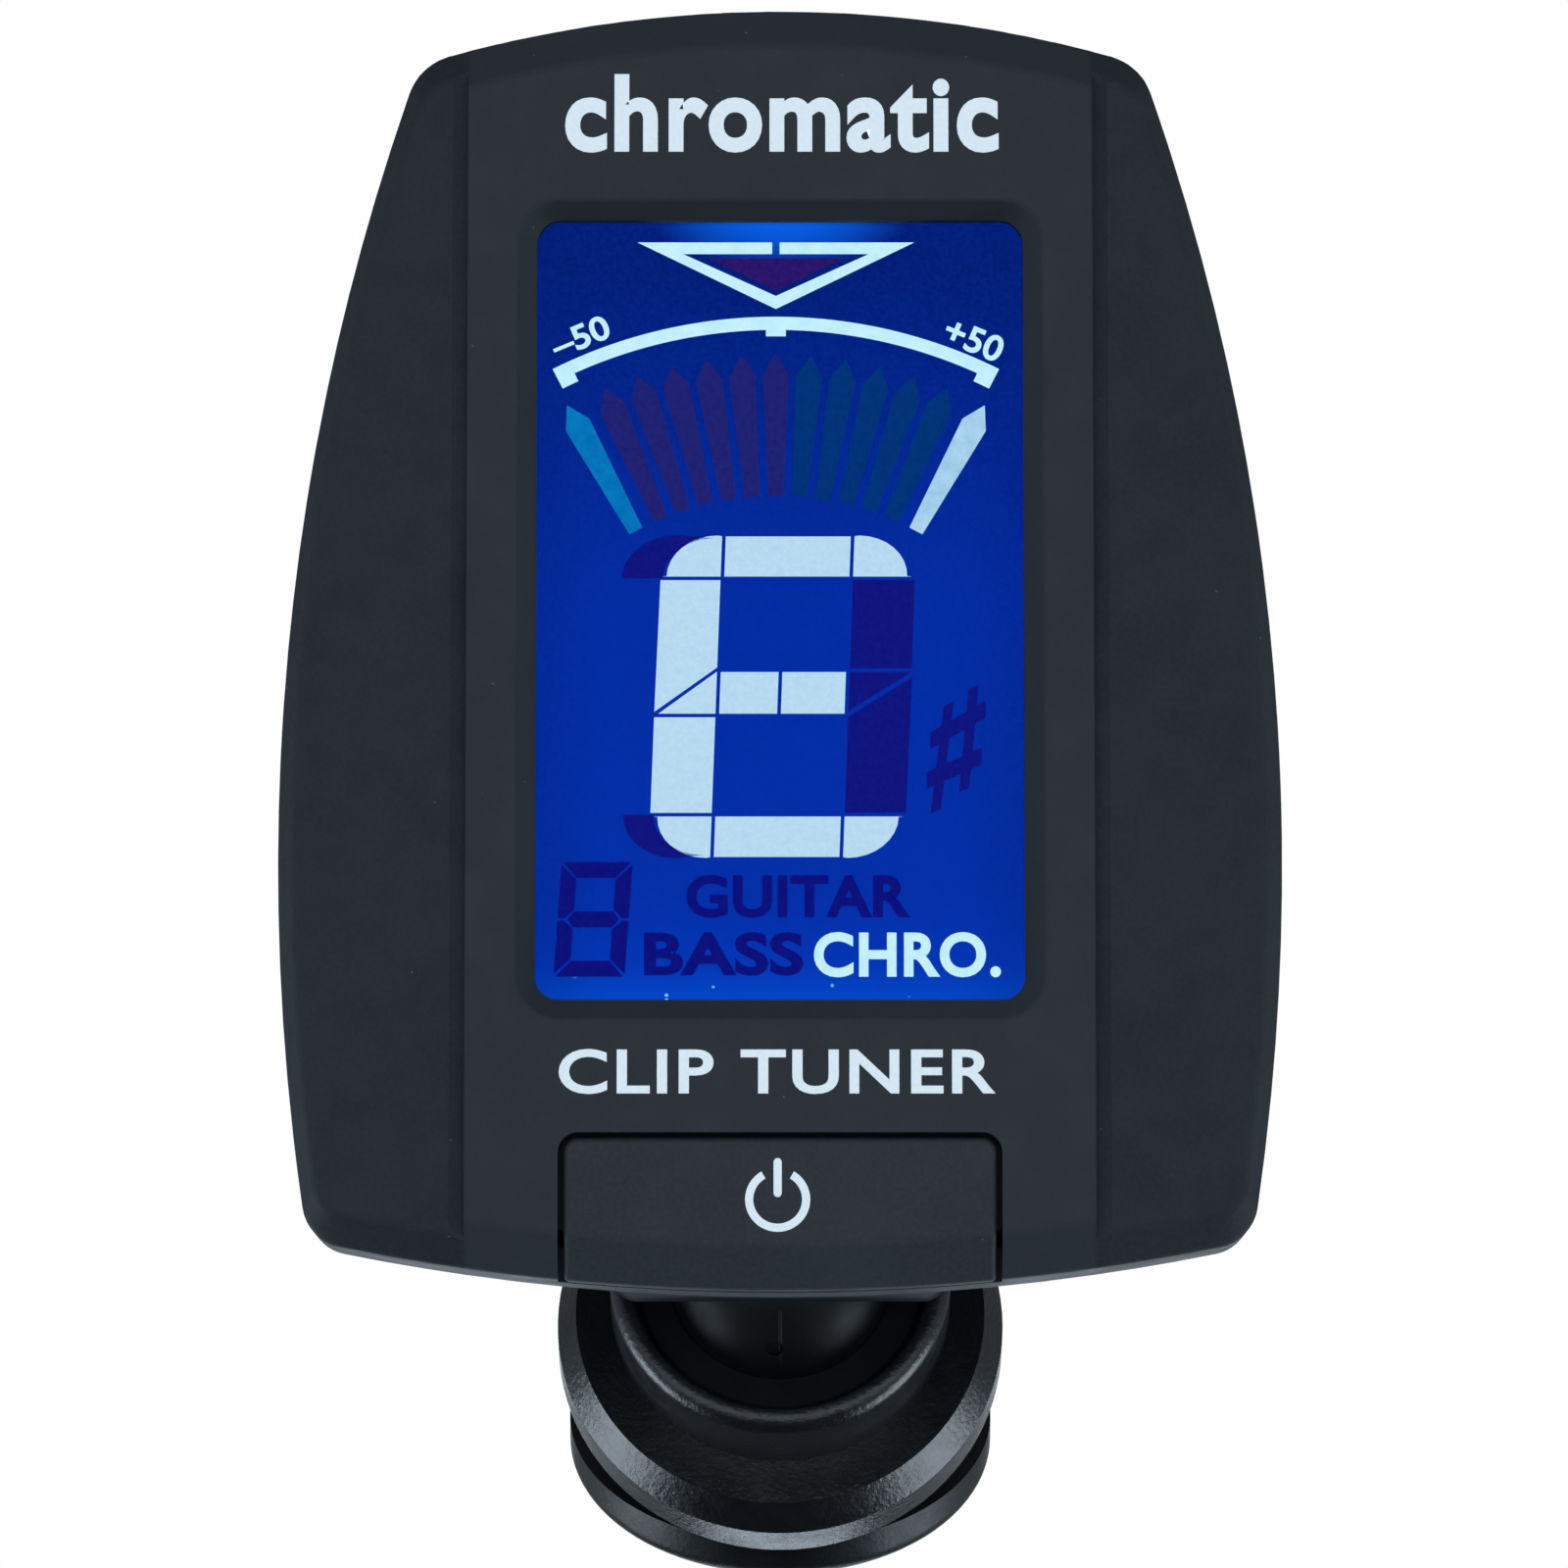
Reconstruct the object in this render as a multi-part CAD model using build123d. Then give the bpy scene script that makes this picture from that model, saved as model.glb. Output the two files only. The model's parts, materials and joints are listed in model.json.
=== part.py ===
from build123d import *
import math
import os

# Clip-on chromatic tuner: a display housing on a ball joint above a spring clip.
# Millimetres. The housing is drawn in its own frame: x to the right, y towards the
# back with the front face at y = 0, and z up from the bottom edge. The two jaws are
# drawn in tilted frames of their own. Saving moves everything so that the origin is
# the centre of the front jaw's grip pad.

# ---- Housing outline ----
HOUSING_WIDTH = 42.2
HOUSING_HEIGHT = 54.8
WIDEST_HEIGHT = 18.6
SIDE_RADIUS = 102.0
TOP_RADIUS = 51.5
BOTTOM_RADIUS = 93.0
TOP_CORNER = 2.5
BOTTOM_CORNER = 2.0
SHARPEST_CORNER = 0.8

# ---- Housing depths, from the front face back ----
BEVEL_DEPTH = 1.2
BEVEL_SIDE = 1.0
BEVEL_END = 1.8
FRONT_WALL = 1.5
WALL = 1.5
PARTING_DEPTH = 5.0
PARTING_INSET = 0.2
REVEAL_INSET = 0.4
REAR_DEPTH = 12.2
REAR_INSET = 1.9
REAR_WALL = 1.2
REAR_EDGE_ROUND = 1.3

# ---- Front panel ----
EDGE_SEARCH = 0.01
CREASE_ROUND = 0.6
SHOULDER_ROUND = 0.35
RIM_ROUND = 0.3
PANEL_HALF = 13.2
PANEL_STEP = 0.35
VALLEY_DEPTH = 0.14
VALLEY_RADIUS = 1.6
WINDOW_HALF = 10.28
WINDOW_BOTTOM = 12.22
WINDOW_TOP = 45.58
WINDOW_CORNER = 1.0
RECESS_HALF = 11.15
RECESS_BOTTOM = 11.28
RECESS_TOP = 46.34
RECESS_CORNER = 1.9
RECESS_DEPTH = 0.8
CUT_MARGIN = 1.0

# ---- Display stack ----
LENS_FACE = 0.85
LENS_BACK = 2.1
LENS_GAP = 0.08
LCD_FRONT = 2.15
LCD_GLASS = 1.0
LCD_HALF = 11.3
LCD_TOP = 46.9
LCD_BOTTOM = 11.3
LCD_LEDGE_BOTTOM = 9.3
GUIDE_FRONT = 4.2
GUIDE_BACK = 5.6
GUIDE_HALF = 10.9
GUIDE_BOTTOM = 11.8
GUIDE_TOP = 46.6
REFLECTOR_BACK = 5.75
LED_BODY = ((-1.6, 1.6), (4.5, 5.9), (47.0, 48.2))
LED_WINDOW = ((-1.2, 1.2), (4.7, 5.5), (46.7, 47.0))
ZEBRA_HALF = 10.3
ZEBRA_BOTTOM = 9.4
ZEBRA_TOP = 11.0
BOARD_FRONT = 5.9
BOARD_BACK = 6.7
BOARD_INSET = 2.4
BOARD_BOSS_GAP = 0.2
BOARD_HOLE_GAP = 0.1

# ---- Power button ----
BUTTON_HALF = 9.03
BUTTON_TOP = 6.27
BUTTON_GAP = 0.25
BUTTON_CORNER = 0.6
BUTTON_ROUND = 0.25
BUTTON_WALL = 1.2
BUTTON_FLOOR_BACK = 1.9
BUTTON_TRAVEL = 0.4
BUTTON_FLOOR_GAP = 0.15
BUTTON_FLANGE_FRONT = 1.55
BUTTON_FLANGE_BACK = 2.2
BUTTON_FLANGE_REACH = 1.1
BUTTON_FLANGE_BOTTOM = 2.6
SWITCH_HEIGHT = 4.1
SWITCH_HALF = 2.25
SWITCH_FRONT = 4.4
STEM_RADIUS = 0.9
STEM_FRONT = 3.9
STEM_LENGTH = 1.0
SWITCH_BODY_HALF = 1.5
SWITCH_FLOOR = 0.4
RUNNING_GAP = 0.05

# ---- Battery and its door ----
CELL_RADIUS = 10.0
CELL_THICK = 3.2
CELL_HEIGHT = 33.0
CELL_FRONT = 7.7
TRAY_RADIUS = 10.35
TRAY_WALL = 0.9
TRAY_FLOOR_FRONT = 6.95
TRAY_FLOOR_BACK = 7.45
DECK_FRONT = 10.2
DECK_BACK = 10.95
DECK_HALF = 13.2
DECK_BOTTOM = 19.4
DOOR_HALF = 11.0
DOOR_BOTTOM = 20.5
DOOR_FRONT = 11.05
DOOR_GAP = 0.15
TONGUE_REACH = 1.0
TONGUE_BACK = 11.5
RAIL_FRONT = 11.6
DOOR_RIDGES = 5
DOOR_RIDGE_PITCH = 1.5
DOOR_RIDGE_RADIUS = 0.35
DOOR_RIDGE_LIFT = 0.1
DOOR_RIDGE_START = 40.5
CELL_STEP = 0.4
CELL_ROUND = 0.3
CELL_POLE_FRONT_RADIUS = 8.6
CELL_POLE_BACK_RADIUS = 9.1

# ---- Screws ----
SHELL_SCREWS = [(-14.5, 7.0, 11.1), (14.5, 7.0, 11.1), (-8.5, 49.4, 9.9), (8.5, 49.4, 9.9)]
SHELL_BOSS_RADIUS = 2.0
SHELL_BOSS_JOIN = 7.0
SHELL_SCREW_RADIUS = 0.7
SHELL_SCREW_LENGTH = 7.5
SHELL_HEAD_RADIUS = 1.4
SHELL_HEAD_THICK = 0.9
SHELL_SCREW_GAP = 0.15
SHELL_SEAT_WALL = 0.25
BOARD_SCREWS = [(-14.8, 14.0), (14.8, 14.0), (-13.4, 42.5), (13.4, 42.5)]
BOARD_BOSS_RADIUS = 1.4
BOARD_SCREW_RADIUS = 0.6
BOARD_SCREW_TIP = 2.6
BOARD_HEAD_RADIUS = 1.2
BOARD_HEAD_THICK = 0.7
HEAD_ROUND_SHARE = 0.3
DRIVE_ARM_SHARE = 0.62
DRIVE_SLOT_SHARE = 0.13
DRIVE_DEPTH_SHARE = 0.55

# ---- Components on the board: places are x and z ----
CHIP_X = -8.5
CHIP_Z = 14.5
CHIP_HALF = 2.6
CHIP_THICK = 1.1
CHIP_STANDOFF = 0.1
CHIP_CHAMFER = 0.15
LEAD_REACH = 0.7
LEAD_PITCH = 0.8
LEAD_HALF = 0.15
LEAD_THICK = 0.3
LEADS_EACH_WAY = 3
CRYSTAL_PLACE = (8.0, 12.0)
CRYSTAL_LENGTH = 5.0
CRYSTAL_WIDTH = 2.0
CRYSTAL_THICK = 1.8
CAPACITOR_PLACES = [(6.5, 16.0), (9.0, 16.0), (11.5, 16.0), (13.0, 20.0)]
CAPACITOR_THICK = 0.7
RESISTOR_PLACES = [(-13.5, 18.5), (-13.5, 20.5), (-3.5, 11.5), (3.6, 11.0), (5.5, 18.5)]
RESISTOR_THICK = 0.4
SMALL_PART_HALF_LENGTH = 0.8
SMALL_PART_HALF_WIDTH = 0.4
PIEZO_HEIGHT = 14.4
PIEZO_RADIUS = 4.6
PIEZO_CERAMIC_RADIUS = 3.4
PIEZO_THICK = 0.2
PIEZO_LEAD_RADIUS = 0.25
PIEZO_LEAD_ASIDE = 1.4
PIEZO_LEAD_DROP = 1.0

# ---- Battery contacts ----
CONTACT_HALF = 1.0
CONTACT_SLOT_GAP = 0.2
NEGATIVE_FOOT = (29.2, 29.5)
NEGATIVE_TOP = 36.5
NEGATIVE_SLOT = ((-1.2, 1.2), (6.45, 7.55), (28.9, 29.9))
POSITIVE_HALF = 2.0
POSITIVE_THICK = 0.3
POSITIVE_GAP = 0.1
POSITIVE_SLOT_NEAR = 0.02
POSITIVE_SLOT_WIDE = 0.7

# ---- Ball joint ----
BALL_DEPTH = 18.8
BALL_HEIGHT = 2.38
STALK_TILT = 15.0
BALL_RADIUS = 5.0
BALL_BACK_FLAT = 3.2
SOCKET_RADIUS = 5.05
SOCKET_FRONT = -1.4
SOCKET_BACK = 4.4
BUSH_RADIUS = 6.4
CUP_BORE = 6.45
NECK_RADIUS = 2.2
COLLAR_RADIUS = 3.5
COLLAR_FACE = 5.9
NECK_END = 3.0
GATE_ANGLE = 54.0
GATE_ASIDE = 0.25
GATE_RADIUS = 0.38
GATE_DEPTH = 0.15
BUSH_CHAMFER = 0.3
STUD_SEAT = 8.6
WASHER_RADIUS = 2.9
WASHER_THICK = 0.5
STUD_SCREW_RADIUS = 0.8
STUD_SCREW_LENGTH = 3.6
STUD_HEAD_RADIUS = 1.6
STUD_HEAD_THICK = 0.9
STALK_BLOCK_HALF = 7.1
STALK_BLOCK_BOTTOM = 0.9
STALK_BLOCK_TOP = 9.0
STALK_BLOCK_FRONT = 7.6
STALK_BLOCK_BACK = 12.5
STALK_BLOCK_CORNER = 1.0
STALK_BLOCK_EDGE = 0.5

# ---- Jaws, in their own frames ----
CUP_RADIUS = 7.36
CUP_FACE = -2.0
CUP_LIP_BORE = 6.3
CUP_LIP_FLARE = 0.2
CUP_LIP_ROUND = 0.75
CUP_FLOOR = 4.45
DISC_FACE = 1.8
DISC_FLAT_RADIUS = 8.86
DISC_EDGE_FRONT = 3.3
DISC_RADIUS = 9.67
DISC_BACK = 5.3
DISC_DROP = 0.45
PAD_RADIUS = 8.2
PAD_PROUD = 0.6
PAD_SUNK = 0.3
PAD_GROOVES = [3.2, 4.7, 6.2]
PAD_GROOVE_WIDTH = 0.7
PAD_GROOVE_DEPTH = 0.25
HINGE_RISE = 14.3
HINGE_BEHIND = 12.3
JAW_ANGLE = 31.0
LEVER_THICK = 2.6
FRONT_LEVER_TOP = 32.0
LEVER_ROOT_HALF = 8.0
LEVER_TIP_HALF = 6.5
LEVER_TIP_ROUND = 3.0
LEVER_TIP_EDGE = 0.4
LEVER_ROOT = 5.0
REAR_LEVER_TOP = 18.0
REAR_PAD_BEHIND = 6.4
REAR_DISC_RADIUS = 9.25
REAR_DISC_THICK = 2.2
REAR_DISC_ROUND = 1.0
LUG_SUNK = 1.0
LUG_RADIUS = 2.4
LUG_HALF_ROOT = 4.1
FRONT_LUG = (5.0, 6.4)
REAR_LUG = (3.5, 4.9)
PIN_RADIUS = 1.0
PIN_HALF = 6.7
PIN_HEAD_RADIUS = 1.6
PIN_HEAD_THICK = 0.5
FRONT_PIN_BORE = 1.01
REAR_PIN_BORE = 1.05
RIDGE_PITCH = 1.9
RIDGE_RADIUS = 0.45
RIDGE_COUNT = 6
RIDGE_FROM_TIP = 3.0
RIDGE_END_INSET = 1.2

# ---- Torsion spring ----
WIRE_RADIUS = 0.4
COIL_RADIUS = 2.6
COIL_PITCH = 1.0
COIL_TURNS = 4
LEG_RISE = 8.0
LEG_TOUCH = 0.05


# ---- Frames and simple solids ----
def tilt_frame(depth, height, degrees):
    """A frame at a depth and height that leans back from the vertical."""
    return Pos(0, depth, height) * Rot(X=-degrees)


FRONT_JAW = tilt_frame(BALL_DEPTH, BALL_HEIGHT, STALK_TILT)
HINGE = (FRONT_JAW * Pos(0, HINGE_BEHIND, HINGE_RISE)).position
REAR_JAW = tilt_frame(HINGE.Y, HINGE.Z, STALK_TILT + JAW_ANGLE)
ORIGIN = (FRONT_JAW * Pos(0, DISC_BACK + PAD_PROUD, -DISC_DROP)).position


def at_depth(sketch, y):
    """Stand a sketch drawn in x and z at depth y."""
    return Plane(origin=(0, y, 0), x_dir=(1, 0, 0), z_dir=(0, -1, 0)) * sketch


def slab(sketch, y_front, y_back):
    """Extrude a sketch drawn in x and z from one depth to another."""
    return extrude(at_depth(sketch, y_back), amount=y_back - y_front)


def cheek(sketch, x_low, x_high):
    """Extrude a sketch drawn in y and z from one x to another."""
    return extrude(Pos(x_low, 0, 0) * (Plane.YZ * sketch), amount=x_high - x_low)


def block(x_span, y_span, z_span):
    """A box given by its low and high x, y and z."""
    size = [high - low for low, high in (x_span, y_span, z_span)]
    return Pos(x_span[0], y_span[0], z_span[0]) * Box(*size, align=(Align.MIN,) * 3)


def rod(radius, y_front, y_back, x=0.0, z=0.0):
    """A round bar along y."""
    bar = Cylinder(radius, y_back - y_front, align=(Align.CENTER, Align.CENTER, Align.MIN))
    return Pos(x, y_front, z) * Rot(X=-90) * bar


def cone(radius_front, radius_back, y_front, y_back, z=0.0):
    """A round bar along y with a different radius at each end."""
    align = (Align.CENTER, Align.CENTER, Align.MIN)
    bar = Cone(radius_front, radius_back, y_back - y_front, align=align)
    return Pos(0, y_front, z) * Rot(X=-90) * bar


def rounded_rect(half_width, z_low, z_high, corner):
    """A rectangle with round corners, centred on x = 0."""
    shape = RectangleRounded(2 * half_width, z_high - z_low, corner)
    return Pos(0, (z_low + z_high) / 2) * shape


def outline(side_inset, end_inset, rounding=0.0):
    """The housing's outline, moved inwards at its sides and ends, with its corners rounded more."""
    side_centre = SIDE_RADIUS - HOUSING_WIDTH / 2
    right = Pos(-side_centre, WIDEST_HEIGHT) * Circle(SIDE_RADIUS - side_inset)
    left = Pos(side_centre, WIDEST_HEIGHT) * Circle(SIDE_RADIUS - side_inset)
    top = Pos(0, HOUSING_HEIGHT - TOP_RADIUS) * Circle(TOP_RADIUS - end_inset)
    bottom = Pos(0, BOTTOM_RADIUS) * Circle(BOTTOM_RADIUS - end_inset)
    shape = right & left & top & bottom
    corners = shape.vertices().sort_by(Axis.Y)
    shape = fillet(corners[:2], max(BOTTOM_CORNER + rounding - side_inset, SHARPEST_CORNER))
    corners = shape.vertices().sort_by(Axis.Y)
    return fillet(corners[-2:], max(TOP_CORNER + rounding - side_inset, SHARPEST_CORNER))


def tapered(sections):
    """A solid with straight sides between outlines given as a depth and outline's values."""
    return loft([at_depth(outline(*values), y) for y, *values in sections], ruled=True)


# ---- Housing ----
def edges_at(body, y):
    """The edges of a solid that lie flat at depth y."""
    return body.edges().filter_by_position(Axis.Y, y - EDGE_SEARCH, y + EDGE_SEARCH)


def front_blank(face_depth):
    """The front shell's outside with its face at one depth: bevel, drafted side wall, soft creases."""
    share = 1 - face_depth / BEVEL_DEPTH
    body = tapered([
        (face_depth, BEVEL_SIDE * share, BEVEL_END * share),
        (BEVEL_DEPTH, 0.0, 0.0),
        (PARTING_DEPTH, PARTING_INSET, PARTING_INSET),
    ])
    body = fillet(edges_at(body, BEVEL_DEPTH), SHOULDER_ROUND)
    return fillet(edges_at(body, face_depth), CREASE_ROUND)


def valley(side):
    """The shallow round valley in a side panel, along the foot of the step."""
    centre = PANEL_STEP + VALLEY_DEPTH - VALLEY_RADIUS
    bar = Cylinder(VALLEY_RADIUS, HOUSING_HEIGHT, align=(Align.CENTER, Align.CENTER, Align.MIN))
    return Pos(side * PANEL_HALF, centre, 0) * bar


def front_outer():
    """The front shell's outside: a raised middle panel between two lower side panels."""
    depths = (-CUT_MARGIN, PARTING_DEPTH + CUT_MARGIN)
    middle = block((-PANEL_HALF, PANEL_HALF), depths, (-CUT_MARGIN, HOUSING_HEIGHT + CUT_MARGIN))
    sides = front_blank(PANEL_STEP) - middle - valley(1) - valley(-1)
    return sides + (front_blank(0.0) & middle)


def button_opening():
    """The slot in the front shell that the button moves in."""
    top = BUTTON_TOP + BUTTON_GAP
    half = BUTTON_HALF + BUTTON_GAP
    opening = rounded_rect(half, -top, top, BUTTON_CORNER + BUTTON_GAP)
    back = BUTTON_FLOOR_BACK + BUTTON_TRAVEL + BUTTON_FLOOR_GAP
    return slab(opening, -CUT_MARGIN, back)


def inside_recess(point):
    """Whether a point is within the window's recess, its rim included."""
    within_width = abs(point.X) < RECESS_HALF + EDGE_SEARCH
    return within_width and RECESS_BOTTOM - EDGE_SEARCH < point.Z < RECESS_TOP + EDGE_SEARCH


def make_front_shell():
    outer = front_outer()
    cavity = slab(outline(WALL, WALL), FRONT_WALL, PARTING_DEPTH + CUT_MARGIN)
    shell = outer - cavity
    window = rounded_rect(WINDOW_HALF, WINDOW_BOTTOM, WINDOW_TOP, WINDOW_CORNER)
    recess = rounded_rect(RECESS_HALF, RECESS_BOTTOM, RECESS_TOP, RECESS_CORNER)
    shell -= slab(window, -CUT_MARGIN, FRONT_WALL + CUT_MARGIN)
    shell -= loft([at_depth(recess, 0.0), at_depth(window, RECESS_DEPTH)], ruled=True)
    recess_rim = edges_at(shell, 0.0).filter_by(lambda edge: inside_recess(edge.center()))
    shell = fillet(recess_rim, RIM_ROUND)
    shell -= button_opening()
    for x, z, _ in SHELL_SCREWS:
        shell += rod(SHELL_BOSS_RADIUS, FRONT_WALL, SHELL_BOSS_JOIN, x, z)
    for x, z in BOARD_SCREWS:
        shell += rod(BOARD_BOSS_RADIUS, FRONT_WALL, BOARD_FRONT, x, z)
    for x, z, seat in SHELL_SCREWS:
        shell -= rod(SHELL_SCREW_RADIUS, seat - SHELL_SCREW_LENGTH, SHELL_BOSS_JOIN, x, z)
    for x, z in BOARD_SCREWS:
        shell -= rod(BOARD_SCREW_RADIUS, BOARD_SCREW_TIP, BOARD_FRONT, x, z)
    return shell


def rear_outer():
    """The outside of the rear shell with its back edge rounded."""
    body = tapered([
        (PARTING_DEPTH, REVEAL_INSET, REVEAL_INSET),
        (REAR_DEPTH, REAR_INSET, REAR_INSET, REAR_INSET),
    ])
    back_edges = body.faces().sort_by(Axis.Y)[-1].edges()
    return fillet(back_edges, REAR_EDGE_ROUND)


def stalk_block():
    """The solid block at the bottom of the rear shell, and its round collar, for the stalk."""
    span = ((-STALK_BLOCK_HALF, STALK_BLOCK_HALF), (STALK_BLOCK_FRONT, STALK_BLOCK_BACK),
            (STALK_BLOCK_BOTTOM, STALK_BLOCK_TOP))
    body = block(*span)
    body = fillet(body.edges().filter_by(Axis.Y), STALK_BLOCK_CORNER)
    body = fillet(body.faces().sort_by(Axis.Y)[-1].edges(), STALK_BLOCK_EDGE)
    return body + FRONT_JAW * rod(COLLAR_RADIUS, -STUD_SEAT, -COLLAR_FACE)


def door_opening():
    """The slot that the battery door slides in, with its two undercut grooves."""
    top = HOUSING_HEIGHT + CUT_MARGIN
    bottom = DOOR_BOTTOM - DOOR_GAP
    half = DOOR_HALF + DOOR_GAP
    slot = block((-half, half), (DECK_BACK, REAR_DEPTH + CUT_MARGIN), (bottom, top))
    groove = half + TONGUE_REACH
    return slot + block((-groove, groove), (DECK_BACK, RAIL_FRONT), (bottom, top))


def make_rear_shell():
    outer = rear_outer()
    cavity = tapered([
        (PARTING_DEPTH - CUT_MARGIN, WALL, WALL),
        (REAR_DEPTH - REAR_WALL, REAR_INSET + WALL, REAR_INSET + WALL),
    ])
    deck = block((-DECK_HALF, DECK_HALF), (DECK_FRONT, REAR_DEPTH), (DECK_BOTTOM, HOUSING_HEIGHT))
    shell = outer - (cavity - deck)
    shell += rod(TRAY_RADIUS + TRAY_WALL, TRAY_FLOOR_FRONT, DECK_BACK, 0, CELL_HEIGHT)
    shell += stalk_block()
    for x, z, seat in SHELL_SCREWS:
        shell += rod(SHELL_BOSS_RADIUS, SHELL_BOSS_JOIN, seat + SHELL_SEAT_WALL, x, z)
    shell -= rod(TRAY_RADIUS, TRAY_FLOOR_BACK, REAR_DEPTH, 0, CELL_HEIGHT)
    shell -= door_opening()
    shell -= block(*NEGATIVE_SLOT)
    shell -= positive_slot()
    shell -= FRONT_JAW * rod(NECK_RADIUS + RUNNING_GAP, -STUD_SEAT - CUT_MARGIN, 0.0)
    pocket = FRONT_JAW * rod(WASHER_RADIUS + DOOR_GAP, -BALL_DEPTH, -STUD_SEAT)
    room = block((-HOUSING_WIDTH, HOUSING_WIDTH), (PARTING_DEPTH, REAR_DEPTH), (0, HOUSING_HEIGHT))
    shell -= pocket & room
    for x, z, seat in SHELL_SCREWS:
        shell -= rod(SHELL_SCREW_RADIUS + SHELL_SCREW_GAP, SHELL_BOSS_JOIN - CUT_MARGIN, REAR_DEPTH, x, z)
        shell -= rod(SHELL_HEAD_RADIUS + SHELL_SCREW_GAP, seat, REAR_DEPTH + CUT_MARGIN, x, z)
    return shell


def make_battery_door():
    top = HOUSING_HEIGHT + CUT_MARGIN
    plate = block((-DOOR_HALF, DOOR_HALF), (DOOR_FRONT, REAR_DEPTH + CUT_MARGIN), (DOOR_BOTTOM, top))
    reach = DOOR_HALF + TONGUE_REACH
    tongues = block((-reach, reach), (DOOR_FRONT, TONGUE_BACK), (DOOR_BOTTOM, top))
    door = (plate + tongues) & rear_outer()
    for index in range(DOOR_RIDGES):
        groove = Rot(Y=90) * Cylinder(DOOR_RIDGE_RADIUS, DOOR_HALF)
        door -= Pos(0, REAR_DEPTH + DOOR_RIDGE_LIFT, DOOR_RIDGE_START + DOOR_RIDGE_PITCH * index) * groove
    return door


# ---- Display stack ----
def make_display_lens():
    raised = rounded_rect(WINDOW_HALF - LENS_GAP, WINDOW_BOTTOM + LENS_GAP, WINDOW_TOP - LENS_GAP,
                          WINDOW_CORNER - LENS_GAP)
    flange = rounded_rect(LCD_HALF, LCD_BOTTOM, LCD_TOP, WINDOW_CORNER)
    return slab(raised, LENS_FACE, FRONT_WALL) + slab(flange, FRONT_WALL, LENS_BACK)


def make_lcd_panel():
    middle = LCD_FRONT + LCD_GLASS
    half = (-LCD_HALF, LCD_HALF)
    front = block(half, (LCD_FRONT, middle), (LCD_BOTTOM, LCD_TOP))
    return front + block(half, (middle, middle + LCD_GLASS), (LCD_LEDGE_BOTTOM, LCD_TOP))


def make_light_guide():
    shape = rounded_rect(GUIDE_HALF, GUIDE_BOTTOM, GUIDE_TOP, WINDOW_CORNER)
    return slab(shape, GUIDE_FRONT, GUIDE_BACK)


def make_reflector_sheet():
    shape = rounded_rect(GUIDE_HALF, GUIDE_BOTTOM, GUIDE_TOP, WINDOW_CORNER)
    return slab(shape, GUIDE_BACK, REFLECTOR_BACK)


def make_backlight_led():
    return block(*LED_BODY) + block(*LED_WINDOW)


def make_zebra_connector():
    back_of_glass = LCD_FRONT + 2 * LCD_GLASS
    return block((-ZEBRA_HALF, ZEBRA_HALF), (back_of_glass, BOARD_FRONT), (ZEBRA_BOTTOM, ZEBRA_TOP))


def make_main_board():
    board = slab(outline(BOARD_INSET, BOARD_INSET), BOARD_FRONT, BOARD_BACK)
    for x, z, _ in SHELL_SCREWS:
        board -= rod(SHELL_BOSS_RADIUS + BOARD_BOSS_GAP, BOARD_FRONT, BOARD_BACK, x, z)
    for x, z in BOARD_SCREWS:
        board -= rod(BOARD_SCREW_RADIUS + BOARD_HOLE_GAP, BOARD_FRONT, BOARD_BACK, x, z)
    return board


# ---- Components on the board ----
def make_tuner_chip():
    body = block((CHIP_X - CHIP_HALF, CHIP_X + CHIP_HALF),
                 (BOARD_BACK + CHIP_STANDOFF, BOARD_BACK + CHIP_THICK),
                 (CHIP_Z - CHIP_HALF, CHIP_Z + CHIP_HALF))
    body = chamfer(body.faces().sort_by(Axis.Y)[-1].edges(), CHIP_CHAMFER)
    reach = CHIP_HALF + LEAD_REACH
    lead_y = (BOARD_BACK, BOARD_BACK + LEAD_THICK)
    for index in range(-LEADS_EACH_WAY, LEADS_EACH_WAY + 1):
        x = CHIP_X + index * LEAD_PITCH
        z = CHIP_Z + index * LEAD_PITCH
        body += block((CHIP_X - reach, CHIP_X + reach), lead_y, (z - LEAD_HALF, z + LEAD_HALF))
        body += block((x - LEAD_HALF, x + LEAD_HALF), lead_y, (CHIP_Z - reach, CHIP_Z + reach))
    return body


def make_crystal():
    can = Pos(*CRYSTAL_PLACE) * SlotOverall(CRYSTAL_LENGTH, CRYSTAL_WIDTH)
    return slab(can, BOARD_BACK, BOARD_BACK + CRYSTAL_THICK)


def chip_parts(places, thick):
    """Small surface-mounted parts, one solid at each place."""
    depths = (BOARD_BACK, BOARD_BACK + thick)
    length = SMALL_PART_HALF_LENGTH
    width = SMALL_PART_HALF_WIDTH
    return Compound(children=[block((x - length, x + length), depths, (z - width, z + width))
                              for x, z in places])


def make_capacitors():
    return chip_parts(CAPACITOR_PLACES, CAPACITOR_THICK)


def make_resistors():
    return chip_parts(RESISTOR_PLACES, RESISTOR_THICK)


def make_tact_switch():
    body = block((-SWITCH_HALF, SWITCH_HALF), (SWITCH_FRONT, BOARD_FRONT),
                 (SWITCH_HEIGHT - SWITCH_BODY_HALF, SWITCH_HEIGHT + SWITCH_BODY_HALF))
    well = rod(STEM_RADIUS + RUNNING_GAP, SWITCH_FRONT, BOARD_FRONT - SWITCH_FLOOR, 0, SWITCH_HEIGHT)
    return body - well


def make_switch_plunger():
    return rod(STEM_RADIUS, STEM_FRONT, STEM_FRONT + STEM_LENGTH, 0, SWITCH_HEIGHT)


def is_button_rim(edge):
    """Whether an edge runs along the sides or top of the button's front."""
    point = edge.center()
    beside = abs(abs(point.X) - BUTTON_HALF) < BUTTON_GAP
    above = abs(point.Z - BUTTON_TOP) < BUTTON_GAP
    return point.Y < BEVEL_DEPTH and (beside or above)


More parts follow.
